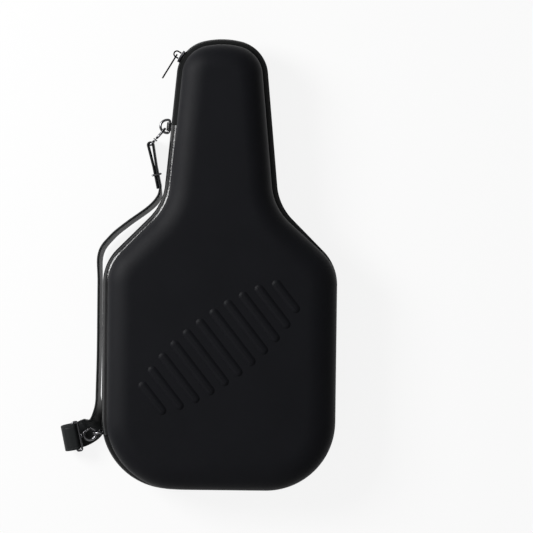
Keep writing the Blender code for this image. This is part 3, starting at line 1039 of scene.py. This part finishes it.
@dataclass
class EdgeZip:
    """Zip of one half: a sloping woven tape and a row of teeth along its outer edge."""

    outline: CaseOutline
    side: Side
    coil_width: float = 0.0022
    coil_rise: float = 0.0026
    coil_lift: float = 0.0001
    pitch: float = 0.00145
    tooth: float = 0.00088
    tooth_trim: float = 0.00035
    tooth_taper: float = 0.72
    lean: float = math.radians(13)
    # Millimetres: inset from the edge and rise from the parting plane.
    tape_section: Profile = (
        (2.0, 2.75), (3.0, 3.9), (4.6, 5.8), (6.75, 8.15), (6.75, 8.55), (6.2, 8.95), (5.8, 8.9),
        (3.9, 7.0), (2.4, 5.3), (1.5, 3.9), (1.3, 3.4), (1.5, 2.85))
    core_section: Profile = ((0.9, 0.35), (2.1, 0.35), (2.1, 2.3), (0.9, 2.3))

    def place(self, station: Station, inset: float, rise: float) -> Vector:
        """A point beside a station on this half's side of the parting plane."""
        return station.at(inset, self.outline.mid + self.side.value * rise)

    def loft(self, section: Profile, path: Sequence[Station]) -> Skin:
        """Skins a section along every other station of a path."""
        return skin_over([[self.place(s, a / MM_PER_M, b / MM_PER_M) for a, b in section]
                          for s in path[::2] + [path[-1]]])

    def build(self) -> None:
        """Builds the tape and the teeth."""
        path = self.outline.paths(self.pitch)[0]
        name, body = self.side.prefix, self.side.body
        publish(f"{name}_sloping_tape", self.loft(self.tape_section, path), TAPE, body,
                [f"{name}_zip_tape"], smooth=55.0)
        row = self.loft(self.core_section, path)
        self.add_teeth(row.bm, path)
        publish(f"{name}_teeth", row, NYLON, body, [f"{name}_zip_coil"], smooth=35.0)

    def add_teeth(self, bm: bmesh.types.BMesh, path: Sequence[Station]) -> None:
        """Adds a leaning tooth at each station.

        Args:
            bm: Mesh to add to.
            path: Stations of the zip, a tooth's pitch apart.
        """
        shift = self.pitch / 2 if self.side is Side.FRONT else 0.0
        rise = (self.coil_rise + self.coil_lift) / 2
        turn = Matrix.Rotation(self.lean * self.side.value, 4, "Y")
        size = Matrix.Diagonal((self.tooth, self.coil_width, self.coil_rise - self.tooth_trim, 1.0))
        for station in path[1:-1]:
            along = UP.cross(station.out)
            basis = Matrix((along, station.out, UP)).transposed().to_4x4()
            middle = self.place(station, self.coil_width / 2, rise) + along * shift
            made = bmesh.ops.create_cube(
                bm, size=1.0, matrix=Matrix.Translation(middle) @ basis @ turn @ size)["verts"]
            outer = [v for v in made if (v.co - middle).dot(station.out) > 0]
            bmesh.ops.scale(bm, vec=(1.0, 1.0, self.tooth_taper),
                            space=Matrix.Translation(-middle), verts=outer)


@dataclass
class SpineLeaf:
    """One half of the folded leather spine that hinges the case."""

    outline: CaseOutline
    side: Side
    # Millimetres: inset from the edge and rise from the parting plane.
    section: Profile = (
        (1.2, 0.25), (1.25, 1.6), (1.5, 3.4), (2.5, 5.2), (3.8, 6.7), (5.3, 7.7), (6.6, 8.3),
        (6.65, 8.9), (6.2, 9.4), (5.5, 9.35), (4.3, 8.75), (3.2, 8.0), (2.1, 6.9), (1.1, 5.4),
        (0.4, 3.9), (0.08, 2.2), (0.02, 0.9), (0.35, 0.3))
    still_rise: float = 0.9
    full_rise: float = 9.0
    wrinkle: float = 0.00035
    # Size, rate to a station and phase of each wave of the puckers.
    waves: Sequence[tuple[float, float, float]] = ((1.0, 1.35, 0.0), (0.6, 2.3, 1.0))
    pucker_drop: float = 0.016
    pucker_spread: float = 0.020
    pitch: float = 0.0018
    overlap: float = 0.0030

    def build(self) -> None:
        """Builds the leaf, puckered where the outline turns inward."""
        path = self.outline.paths(self.pitch)[1]
        first, last = path[0], path[-1]
        path = ([Station(first.point - self.overlap * UP.cross(first.out), first.out)] + path
                + [Station(last.point + self.overlap * UP.cross(last.out), last.out)])
        root = self.outline.flare()[0]
        rings = []
        for k, s in enumerate(path):
            near = math.exp(-((s.point.y - root.y + self.pucker_drop) / self.pucker_spread) ** 2)
            pucker = self.wrinkle * near * sum(size * math.sin(k * rate + phase)
                                               for size, rate, phase in self.waves)
            ring = []
            for inset, rise in self.section:
                swell = 0.0
                if rise > self.still_rise:
                    swell = pucker * math.sin(HALF_TURN * min(1.0, rise / self.full_rise))
                height = self.outline.mid + self.side.value * rise / MM_PER_M
                ring.append(s.at(inset / MM_PER_M + swell, height))
            rings.append(ring)
        name = self.side.prefix
        publish(f"{name}_spine_leather", skin_over(rings), SPINE, self.side.body,
                [f"{name}_spine"], smooth=55.0)


@dataclass
class ZipSlider:
    """Zip slider with its bail and flat pull, on the neck's upper left corner."""

    outline: CaseOutline
    angle: float = math.radians(31)
    length: float = 0.012
    thickness: float = 0.0021
    height: float = 0.0086
    face_taper: float = 0.75
    waist: float = 0.16
    web: float = 0.0005
    web_depth: float = 0.0016
    edge_angle: float = math.radians(35)
    edge_width: float = 0.0003
    bail_wire: float = 0.0014
    bail_foot: float = 0.62
    bail_span: float = 0.006
    bail_height: float = 0.0062
    bail_steps: int = 14
    pull_length: float = 0.028
    pull_width: float = 0.009
    pull_thickness: float = 0.0013
    pull_power: float = 0.35
    pull_nip: float = 0.00025
    pull_points: int = 40
    hole_length: float = 0.0040
    hole_width: float = 0.0044
    hole_power: float = 0.45
    pull_end: float = 0.0015
    pull_rise: float = 0.0032
    pull_seat: float = 0.0005
    fit: float = 0.0003

    def build(self) -> None:
        """Builds the slider, the bail and the pull."""
        right = self.outline.corner_centre()
        centre = Vector((-right.x, right.y, self.outline.mid))
        radius = self.outline.corner_radius
        out = heading(HALF_TURN - self.angle)
        along = UP.cross(out)
        seat = centre + out * (radius + self.thickness + 2 * self.fit)
        hang = along * (self.bail_span / 2)
        self.build_body(centre, radius)
        self.build_bail(seat, out, along)
        self.build_pull(seat + hang + out * (self.pull_rise - self.fit), out, along)

    def build_body(self, centre: Vector, radius: float) -> None:
        """Builds the slider's body.

        Args:
            centre: Centre of the corner arc at the parting plane.
            radius: Radius of the corner arc.
        """
        turn = self.length / 2 / radius
        half, web, face = self.height / 2, self.web / 2, -self.fit - self.thickness
        section = [(-self.fit, -half), (face, -half * self.face_taper),
                   (face, half * self.face_taper), (-self.fit, half), (-self.fit, web),
                   (self.web_depth, web), (self.web_depth, -web), (-self.fit, -web)]
        flat = Vector((centre.x, centre.y, 0.0))
        rings = []
        for a in span(HALF_TURN - self.angle - turn, HALF_TURN - self.angle + turn, 10):
            share = (a - HALF_TURN + self.angle) / turn
            waist = 1.0 - self.waist * math.cos(share * HALF_TURN / 2)
            station = Station(flat + radius * heading(a), heading(a))
            rings.append([station.at(inset, self.outline.mid
                                     + rise * (waist if abs(rise) > web else 1.0))
                          for inset, rise in section])
        skin = skin_over(rings)
        skin.chamfer(self.edge_angle, self.edge_width, 3)
        publish("slider_shield", skin, BLACKED, "slider", ["slider_body"])

    def build_bail(self, seat: Vector, out: Vector, along: Vector) -> None:
        """Builds the wire bail that the pull hangs on.

        Args:
            seat: Middle of the bail's feet.
            out: Direction out from the zip.
            along: Direction along the zip.
        """
        half = self.bail_span / 2
        knee = self.bail_height - half
        arch = [seat + along * half, seat + along * half + out * knee * 0.5]
        arch += [seat + along * math.cos(a) * half + out * (knee + math.sin(a) * half)
                 for a in span(0.0, HALF_TURN, self.bail_steps)]
        arch += [seat - along * half + out * knee * 0.5, seat - along * half]
        foot, leg = self.bail_wire * self.bail_foot, self.bail_wire / 2
        radii = [foot] + [leg] * (len(arch) - 2) + [foot]
        publish("slider_bail_wire", wire_skin(arch, radii), BLACKED, "slider", ["slider_bail"])

    def build_pull(self, pivot: Vector, out: Vector, along: Vector) -> None:
        """Builds the flat pull.

        Args:
            pivot: Where the pull hangs on the bail.
            out: Direction out from the zip.
            along: Direction along the zip.
        """
        def ring(shift: float, trim: float,
                 shape: tuple[float, float, float, float]) -> list[Vector]:
            """Rounded oblong across the pull.

            Args:
                shift: Distance of the ring out from the pull's middle.
                trim: How far it lies inside its shape.
                shape: First and last place along the pull, half width and squareness.

            Returns:
                Points of the ring.
            """
            first, last, half, power = shape
            points = []
            for k in range(self.pull_points):
                a = FULL_TURN * k / self.pull_points
                c, s = (math.copysign(abs(w) ** power, w) for w in (math.cos(a), math.sin(a)))
                x = c * ((last - first) / 2 - trim) + (first + last) / 2
                points.append(pivot + along * (x + self.pull_seat) + UP * s * (half - trim)
                              + out * shift)
            return points

        lift, hole, nip = self.pull_thickness / 2, self.hole_length / 2, self.pull_nip
        top = -self.hole_length / 2 - self.pull_end
        plate = (top, top + self.pull_length, self.pull_width / 2, self.pull_power)
        eye = (-hole, hole, self.hole_width / 2, self.hole_power)
        rings = [ring(-lift, nip, plate), ring(-lift + nip, 0.0, plate),
                 ring(lift - nip, 0.0, plate), ring(lift, nip, plate),
                 ring(lift, -nip, eye), ring(lift - nip, 0.0, eye),
                 ring(nip - lift, 0.0, eye), ring(-lift, -nip, eye)]
        publish("pull_plate", skin_over(rings, closed=True), BLACKED, "pull", ["pull_tab"],
                smooth=30.0)


@dataclass
class Seat:
    """Where a ring tab, its ring and its hook sit, with their directions.

    root and bar are the tab's foot and the ring's bar, out points from the case, and across
    and along lie across and along the ring's bar. claw is the middle of the hook's claw, u
    points from the claw to the ring, and v lies across u in the claw's plane.
    """

    root: Vector
    bar: Vector
    out: Vector
    across: Vector
    along: Vector
    claw: Vector
    u: Vector
    v: Vector


@dataclass
class RingMount:
    """Leather tab sewn to the shell's side, with its D-shaped ring."""

    outline: CaseOutline
    hardware_z: float = 0.016
    bulge_inset: float = 0.0055
    standoff: float = 0.002
    wire: float = 0.0026
    reach: float = 0.0090
    width: float = 0.013
    corner: float = 0.002
    tab_width: float = 0.0085
    tab_thickness: float = 0.0012
    lead_shares: Sequence[float] = (0.0, 0.3, 0.6, 0.85)
    hook_turn: float = math.radians(49.5)
    grip: float = 0.0029
    fit: float = 0.0003
    seek_pitch: float = 0.0005
    fold_steps: int = 14
    corner_steps: int = 6
    arch_steps: int = 28

    def seats(self) -> dict[str, Seat]:
        """Works out where the tabs, the rings and the hooks sit.

        Returns:
            The upper and the lower seat, by name.
        """
        left = [s for s in self.outline.around(self.seek_pitch) if s.point.x < 0]
        lift = UP * self.hardware_z
        high_y = self.outline.upper_tab_y
        high = min(left, key=lambda s: abs(s.point.y - high_y))
        low = min(left, key=lambda s: abs(s.point.y - self.outline.lower_tab_y))
        inset = self.bulge_inset - self.fit
        pull, along = -heading(self.hook_turn), UP.cross(high.out)
        arch, half = self.reach - self.corner, self.width / 2
        a, b = pull.dot(high.out), pull.dot(along)
        size = math.hypot(arch * a, half * b)
        bar = high.point + high.out * self.standoff + lift
        claw = (bar + high.out * (self.corner + arch * arch * a / size)
                + along * (half * half * b / size) + pull * self.grip)
        upper = Seat(high.point - high.out * inset + lift, bar, high.out, UP, along,
                     claw, -pull, UP)
        bar = low.point + low.out * self.standoff + lift
        side = UP.cross(low.out)
        lower = Seat(low.point - low.out * inset + lift, bar, low.out, side, UP,
                     bar + low.out * (self.reach + self.grip), -low.out, -side)
        return {"upper": upper, "lower": lower}

    def build(self, name: str, seat: Seat) -> None:
        """Builds one tab and its ring.

        Args:
            name: Start of the pieces' names.
            seat: Where they sit.
        """
        radius = self.wire / 2 + self.fit + self.tab_thickness / 2
        lead = [seat.root.lerp(seat.bar, t) for t in self.lead_shares]
        centres = [p + seat.across * radius for p in lead]
        centres += [seat.bar + radius * (seat.across * math.sin(a) + seat.out * math.cos(a))
                    for a in span(QUARTER_TURN, -QUARTER_TURN, self.fold_steps)]
        centres += [p - seat.across * radius for p in reversed(lead)]
        tab = strip_skin(centres, [seat.along] * len(centres), self.tab_width, self.tab_thickness)
        publish(f"{name}_sewn_tab", tab, TAB, "rear", [f"{name}_ring_tab"], smooth=50.0)
        half, corner = self.width / 2, self.corner
        points = []
        for side in (-1, 1):
            points += [seat.bar + seat.out * corner * (1 - math.cos(a))
                       + seat.along * side * (half - corner + corner * math.sin(a))
                       for a in span(0.0, QUARTER_TURN, self.corner_steps)[::side]]
        points += [seat.bar + seat.out * (corner + (self.reach - corner) * math.cos(a))
                   + seat.along * half * math.sin(a)
                   for a in span(QUARTER_TURN, -QUARTER_TURN, self.arch_steps)[1:-1]]
        ring = wire_skin(points, [self.wire / 2] * len(points), closed=True, sides=16)
        publish(f"{name}_d_ring_wire", ring, NICKEL, f"{name}_d_ring", [f"{name}_ring"])


@dataclass
class SnapHook:
    """Swivel snap hook: claw, sprung gate, swivel post and the loop that takes the strap."""

    name: str
    seat: Seat
    radius: float = 0.006
    wire: float = 0.0026
    tip: float = math.radians(20)
    stub: float = math.radians(-62)
    claw_steps: int = 44
    claw_end: float = 0.86
    edge_angle: float = math.radians(60)
    edge_width: float = 0.00025
    gate_wire: float = 0.0018
    gate_gap: float = 0.0005
    # Shares of the length, and of the full radius there.
    gate_rows: Profile = ((0.0, 0.8), (0.04, 1.0), (0.12, 1.0), (0.2, 1.0), (0.26, 0.86),
                          (0.6, 0.86), (0.9, 0.86), (0.97, 0.78), (1.0, 0.6))
    post_rows: Profile = ((0.0, 0.86), (0.08, 0.98), (0.2, 1.0), (0.32, 0.96), (0.42, 0.8),
                          (0.58, 0.8), (0.68, 0.96), (0.8, 1.0), (0.92, 0.98), (1.0, 0.86))
    post_radius: float = 0.0024
    post_length: float = 0.0012
    loop_wire: float = 0.0022
    loop_corner: float = 0.0016
    loop_depth: float = 0.0050
    strap_width: float = 0.026
    side_gap: float = 0.0008
    fit: float = 0.0003

    @property
    def bar(self) -> Vector:
        """Middle of the bar that the strap goes round."""
        depth = (self.radius + self.wire / 2 + 2 * self.fit + self.post_length + self.loop_wire / 2
                 + self.loop_depth)
        return self.seat.claw - self.seat.u * depth

    def around(self, angle: float) -> Vector:
        """Step from the claw's middle to its wire at an angle."""
        return self.radius * (self.seat.v * math.cos(angle) + self.seat.u * math.sin(angle))

    def build(self) -> None:
        """Builds the four pieces."""
        self.build_claw()
        self.build_gate()
        self.build_post()
        self.build_loop()

    def build_claw(self) -> None:
        """Builds the open claw, a little thinner at its two ends."""
        steps = self.claw_steps
        arc = [self.seat.claw + self.around(a)
               for a in span(self.stub, self.tip - FULL_TURN, steps)]
        radii = []
        for k in range(steps + 1):
            inward = min(1.0, 6 * min(k, steps - k) / steps)
            radii.append(self.wire / 2 * (self.claw_end + (1 - self.claw_end) * inward))
        claw = wire_skin(arc, radii, sides=18)
        claw.chamfer(self.edge_angle, self.edge_width, 3)
        publish(f"{self.name}_claw", claw, NICKEL, f"{self.name}_snap", [f"{self.name}_hook"])

    def build_gate(self) -> None:
        """Builds the sprung gate across the claw's mouth."""
        low, high = self.around(self.stub), self.around(self.tip)
        chord = (high - low).normalized()
        clear = self.gate_gap + self.wire / 6
        start, end = self.seat.claw + low + chord * clear, self.seat.claw + high - chord * clear
        gate = wire_skin([start.lerp(end, t) for t, _ in self.gate_rows],
                         [self.gate_wire / 2 * s for _, s in self.gate_rows], sides=16)
        publish(f"{self.name}_gate_pin", gate, NICKEL, f"{self.name}_latch", [f"{self.name}_gate"])

    def build_post(self) -> None:
        """Builds the grooved post that the claw turns on."""
        near = self.radius + self.wire / 2 + self.fit
        post = wire_skin([self.seat.claw - self.seat.u * (near + self.post_length * t)
                          for t, _ in self.post_rows],
                         [self.post_radius * s for _, s in self.post_rows], sides=24)
        publish(f"{self.name}_swivel_collar", post, NICKEL, f"{self.name}_snap",
                [f"{self.name}_swivel_post"], smooth=30.0)

    def build_loop(self) -> None:
        """Builds the wire loop for the strap."""
        u, v, c = self.seat.u, self.seat.v, self.loop_corner
        half = (self.strap_width + self.side_gap + self.loop_wire) / 2
        points = []
        for a, b, start in ((1, 1, 0), (0, 1, 90), (0, -1, 180), (1, -1, 270)):
            middle = self.bar + u * (self.loop_depth - c if a else c) + v * b * (half - c)
            points += corner_arc(middle, u, v, c, start, 6)
        loop = wire_skin(points, [self.loop_wire / 2] * len(points), closed=True)
        publish(f"{self.name}_loop_wire", loop, NICKEL, "rear", [f"{self.name}_strap_loop"])


@dataclass
class CarryStrap:
    """Stitched leather strap between the two hooks, with its slide buckle."""

    outline: CaseOutline
    lower_seat: Seat
    upper_bar: Vector
    lower_bar: Vector
    width: float = 0.026
    thickness: float = 0.0022
    side_gap: float = 0.0008
    layer_gap: float = 0.0006
    loop_wire: float = 0.0022
    buckle_wire: float = 0.0020
    buckle_corner: float = 0.3
    buckle_distance: float = 0.030
    buckle_travel: float = 0.008
    tail: float = 0.006
    lead: float = 0.004
    lean_angle: float = math.radians(-78)
    # Places that the strap passes, across and along the case from the one they are named for.
    flare_marks: Profile = ((-0.0062, -0.0130), (-0.0155, -0.0240), (-0.0365, -0.0395))
    slope_share: float = 0.62
    slope_mark: tuple[float, float] = (-0.0150, 0.0075)
    shoulder_mark: tuple[float, float] = (-0.0030, 0.0280)
    side_standoff: float = 0.0034
    side_drop: float = 0.002
    foot_standoff: float = 0.0008
    foot_rise: float = 0.022
    drop_marks: Profile = ((0.0003, -0.014), (-0.0006, -0.025))
    claw_marks: Profile = ((0.0013, 0.0052), (-0.0042, 0.0009))
    tilt: float = math.radians(5)
    tilt_ramp: float = 0.15
    flare_tilt: float = math.radians(4)
    flare_ramp: float = 0.2
    flare_end: float = 0.75
    turn_reach: float = 0.0034
    turn_floor: float = 0.0028
    turn_lead: float = 0.008
    hardware_z: float = 0.016
    fit: float = 0.0003
    steps: int = 9
    run_steps: int = 8
    wrap_steps: int = 16
    fold_steps: int = 18

    @property
    def lean(self) -> Vector:
        """Direction of the strap below the upper hook."""
        return heading(self.lean_angle)

    @property
    def wrap(self) -> float:
        """Radius of the strap's middle round a hook's bar."""
        return (self.loop_wire + self.thickness) / 2 + self.fit

    def upper_run(self) -> list[Vector]:
        """From the tail at the buckle, over the upper bar and down past the buckle.

        Returns:
            Points of the strap's middle.
        """
        bar, lean = self.upper_bar, self.lean
        side = UP.cross(lean)
        layer = (self.thickness + self.layer_gap) / 2
        reach = self.buckle_distance + self.buckle_travel
        near = reach - 2 * self.buckle_travel
        centres = [bar + lean * d - side * layer
                   for d in span(reach + self.tail, near, self.run_steps)]
        centres += [bar + self.wrap * (side * math.sin(a) + lean * math.cos(a))
                    for a in span(-QUARTER_TURN, -3 * QUARTER_TURN, self.wrap_steps)]
        return centres + [bar + lean * d + side * layer
                          for d in span(near, reach + self.lead, self.run_steps)]

    def side_run(self, start: Vector) -> tuple[list[Vector], list[Vector]]:
        """Down the case's left side, on edge and tilted a little.

        Args:
            start: Where the upper run ends.

        Returns:
            Points of the strap's middle and its width directions.
        """
        root = self.outline.flare()[0]
        half, top, corner = self.outline.half_body, self.outline.side_top_y, self.outline.corner_y
        z = self.hardware_z
        flare = Vector((-root.x, root.y, z))
        shoulder = Vector((-half, top, z))
        close = -half - self.side_standoff
        marks = [start, *(flare + Vector((*mark, 0.0)) for mark in self.flare_marks),
                 flare.lerp(shoulder, self.slope_share) + Vector((*self.slope_mark, 0.0)),
                 shoulder + Vector((*self.shoulder_mark, 0.0)),
                 Vector((close, top - self.side_drop, z)), Vector((close, (top + corner) / 2, z)),
                 Vector((close - self.foot_standoff, corner + self.foot_rise, z))]
        route = smooth_route(marks, self.steps)
        end = len(route) - 1
        widths = []
        for k in range(1, end + 1):
            way = (route[min(k + 1, end)] - route[k - 1]).normalized()
            share = k / end
            rising, falling = share / self.flare_ramp, (self.flare_end - share) / self.flare_ramp
            tilt = (self.tilt * eased(share / self.tilt_ramp)
                    + self.flare_tilt * eased(rising) * eased(falling))
            widths.append(UP * math.cos(tilt) + way.cross(UP) * math.sin(tilt))
        return route[1:], widths

    def turn_run(self, last: Vector) -> tuple[list[Vector], list[Vector]]:
        """Twist to flat, the turn on the table and the fold round the lower bar.

        Args:
            last: Where the side run ends.

        Returns:
            Points of the strap's middle and its width directions.
        """
        out, claw = self.lower_seat.out, self.lower_seat.claw
        edge = self.lower_bar + out * self.turn_reach
        floor = Vector((edge.x, edge.y, self.turn_floor))
        bend = smooth_route([last, *(last + Vector((*mark, 0.0)) for mark in self.drop_marks),
                             *(claw + Vector((*mark, 0.0)) for mark in self.claw_marks),
                             floor - out * self.turn_lead], self.steps)
        centres, widths = [], []
        for k, point in enumerate(bend[1:], 1):
            share = min(1.0, k / (len(bend) - 1 - self.steps))
            turn = self.tilt + (QUARTER_TURN - self.tilt) * eased(share)
            rise = self.turn_floor + (self.hardware_z - self.turn_floor) * math.cos(turn)
            way = (bend[min(k + 1, len(bend) - 1)] - bend[k - 1]).normalized()
            centres.append(Vector((point.x, point.y, rise)))
            widths.append(UP * math.cos(turn) + way.cross(UP) * math.sin(turn))
        top = self.hardware_z + self.wrap
        middle = Vector((floor.x, floor.y, (self.turn_floor + top) / 2))
        radius = (top - self.turn_floor) / 2
        fold = [middle + radius * (out * math.cos(a) + UP * math.sin(a))
                for a in span(-QUARTER_TURN, QUARTER_TURN, self.fold_steps)]
        fold += [self.lower_bar + self.wrap * (UP * math.sin(a) - out * math.cos(a))
                 for a in span(QUARTER_TURN, -QUARTER_TURN, self.wrap_steps)]
        fold.append(edge - UP * self.wrap)
        return centres + fold, widths + [out.cross(UP)] * len(fold)

    def build(self) -> None:
        """Builds the strap and the buckle."""
        upper = self.upper_run()
        side, tilted = self.side_run(upper[-1])
        lower, turned = self.turn_run(side[-1])
        strap = strip_skin(upper + side + lower, [UP] * len(upper) + tilted + turned, self.width,
                           self.thickness)
        publish("stitched_strap", strap, STRAP, "rear", ["carry_strap"], smooth=60.0)
        self.build_buckle()

    def build_buckle(self) -> None:
        """Builds the wire buckle round the doubled strap."""
        middle = self.upper_bar + self.lean * self.buckle_distance
        side = UP.cross(self.lean)
        half_t = self.thickness + self.layer_gap / 2 + self.fit + self.buckle_wire / 2
        half_w = (self.width + self.side_gap + self.buckle_wire) / 2
        radius = self.buckle_wire * self.buckle_corner / 2
        frame = []
        for a, b, start in ((1, 1, 0), (-1, 1, 90), (-1, -1, 180), (1, -1, 270)):
            corner = middle + side * a * (half_t - radius) + UP * b * (half_w - radius)
            frame += corner_arc(corner, side, UP, radius, start, 3)
        buckle = wire_skin(frame, [self.buckle_wire / 2] * len(frame), closed=True)
        publish("slide_buckle", buckle, NICKEL, "buckle", ["strap_buckle"], smooth=50.0)


@dataclass
class Studio:
    """Pale floor, soft light and the camera."""

    aim: Vector = field(default_factory=lambda: Vector((0.0458, -0.0011, 0.030)))
    toward: Vector = field(default_factory=lambda: Vector((-0.0094, 0.038, 1.0)))
    distance: float = 3.0
    lens: float = 204.5
    roll: float = 0.0122
    floor_z: float = -0.0002
    floor_half: float = 4.0
    floor_colour: Colour = (0.9, 0.9, 0.9)
    floor_roughness: float = 0.9
    floor_glow: float = 0.88
    white: Colour = (1.0, 1.0, 1.0)
    ambient: float = 0.16
    lamp_aim: Vector = field(default_factory=lambda: Vector((0.0, 0.0, 0.03)))

    def build(self) -> None:
        """Builds the floor, the world, the lamps and the camera."""
        bpy.context.scene.view_settings.view_transform = "Standard"
        self.floor()
        self.world()
        self.lamp("key_light", Vector((-1.35, 0.60, 1.05)), size=0.7, power=36.0)
        self.lamp("fill_light", Vector((-0.3, -1.1, 1.4)), size=1.4, power=3.0)
        self.camera()

    def camera(self) -> None:
        """Sets up the camera at the photograph's viewing angle."""
        back = self.toward.normalized()
        right = Vector((0.0, 1.0, 0.0)).cross(back).normalized()
        turn = Matrix.Rotation(self.roll, 4, "Z")
        basis = Matrix((right, back.cross(right), back)).transposed().to_4x4()
        camera = bpy.data.objects.new("camera", bpy.data.cameras.new("camera"))
        camera.data.lens = self.lens
        camera.matrix_world = Matrix.Translation(self.aim + back * self.distance) @ basis @ turn
        bpy.context.scene.collection.objects.link(camera)
        bpy.context.scene.camera = camera

    def floor(self) -> None:
        """Builds the floor, nearly white to camera, glossy and transmission rays, with a shadow."""
        bm = bmesh.new()
        bmesh.ops.create_grid(bm, x_segments=1, y_segments=1, size=self.floor_half,
                              matrix=Matrix.Translation((0.0, 0.0, self.floor_z)))
        mesh = bpy.data.meshes.new("floor")
        bm.to_mesh(mesh)
        bm.free()
        g = Graph("pale_floor")
        g.surface(Base_Color=(*self.floor_colour, 1.0), Roughness=self.floor_roughness)
        camera, glossy, through = (
            g.node("ShaderNodeLightPath", output=ray)
            for ray in ("Is Camera Ray", "Is Glossy Ray", "Is Transmission Ray"))
        glow = g.node("ShaderNodeEmission", sockets={"Color": (*self.white, 1.0), "Strength": 1.0})
        seen = camera.apply("MAXIMUM", glossy).apply("MAXIMUM", through) * self.floor_glow
        mixed = g.node("ShaderNodeMixShader",
                       sockets={0: seen, 1: Term(g, g.shader.outputs[0]), 2: glow})
        g.feed(g.tree.nodes["Material Output"].inputs["Surface"], mixed)
        mesh.materials.append(g.material)
        floor = bpy.data.objects.new("floor", mesh)
        bpy.context.scene.collection.objects.link(floor)

    def world(self) -> None:
        """Fills the world with even light."""
        world = bpy.data.worlds.new("studio")
        world.use_nodes = True
        shade = world.node_tree.nodes["Background"]
        shade.inputs["Color"].default_value = (*self.white, 1.0)
        shade.inputs["Strength"].default_value = self.ambient
        bpy.context.scene.world = world

    def lamp(self, name: str, place: Vector, size: float, power: float) -> None:
        """Adds a soft square lamp aimed at the case.

        Args:
            name: Name of the lamp.
            place: Where it hangs.
            size: Length of its side.
            power: Power in watts.
        """
        data = bpy.data.lights.new(name, "AREA")
        data.size = size
        data.energy = power
        lamp = bpy.data.objects.new(name, data)
        lamp.location = place
        lamp.rotation_euler = (place - self.lamp_aim).to_track_quat("Z", "Y").to_euler()
        bpy.context.scene.collection.objects.link(lamp)


def main() -> None:
    """Builds the case, its hardware and the studio."""
    logging.basicConfig(level=logging.INFO, format="%(name)s %(message)s")
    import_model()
    Studio().build()
    outline = CaseOutline()
    for side in Side:
        ShellHalf(outline, side).build()
        EdgeZip(outline, side).build()
        SpineLeaf(outline, side).build()
    RibField(outline).build()
    ZipSlider(outline).build()
    mount = RingMount(outline)
    seats = mount.seats()
    hooks = {name: SnapHook(name, seat) for name, seat in seats.items()}
    for name, seat in seats.items():
        mount.build(name, seat)
        hooks[name].build()
    CarryStrap(outline, seats["lower"], hooks["upper"].bar, hooks["lower"].bar).build()


if __name__ == "__main__":
    main()
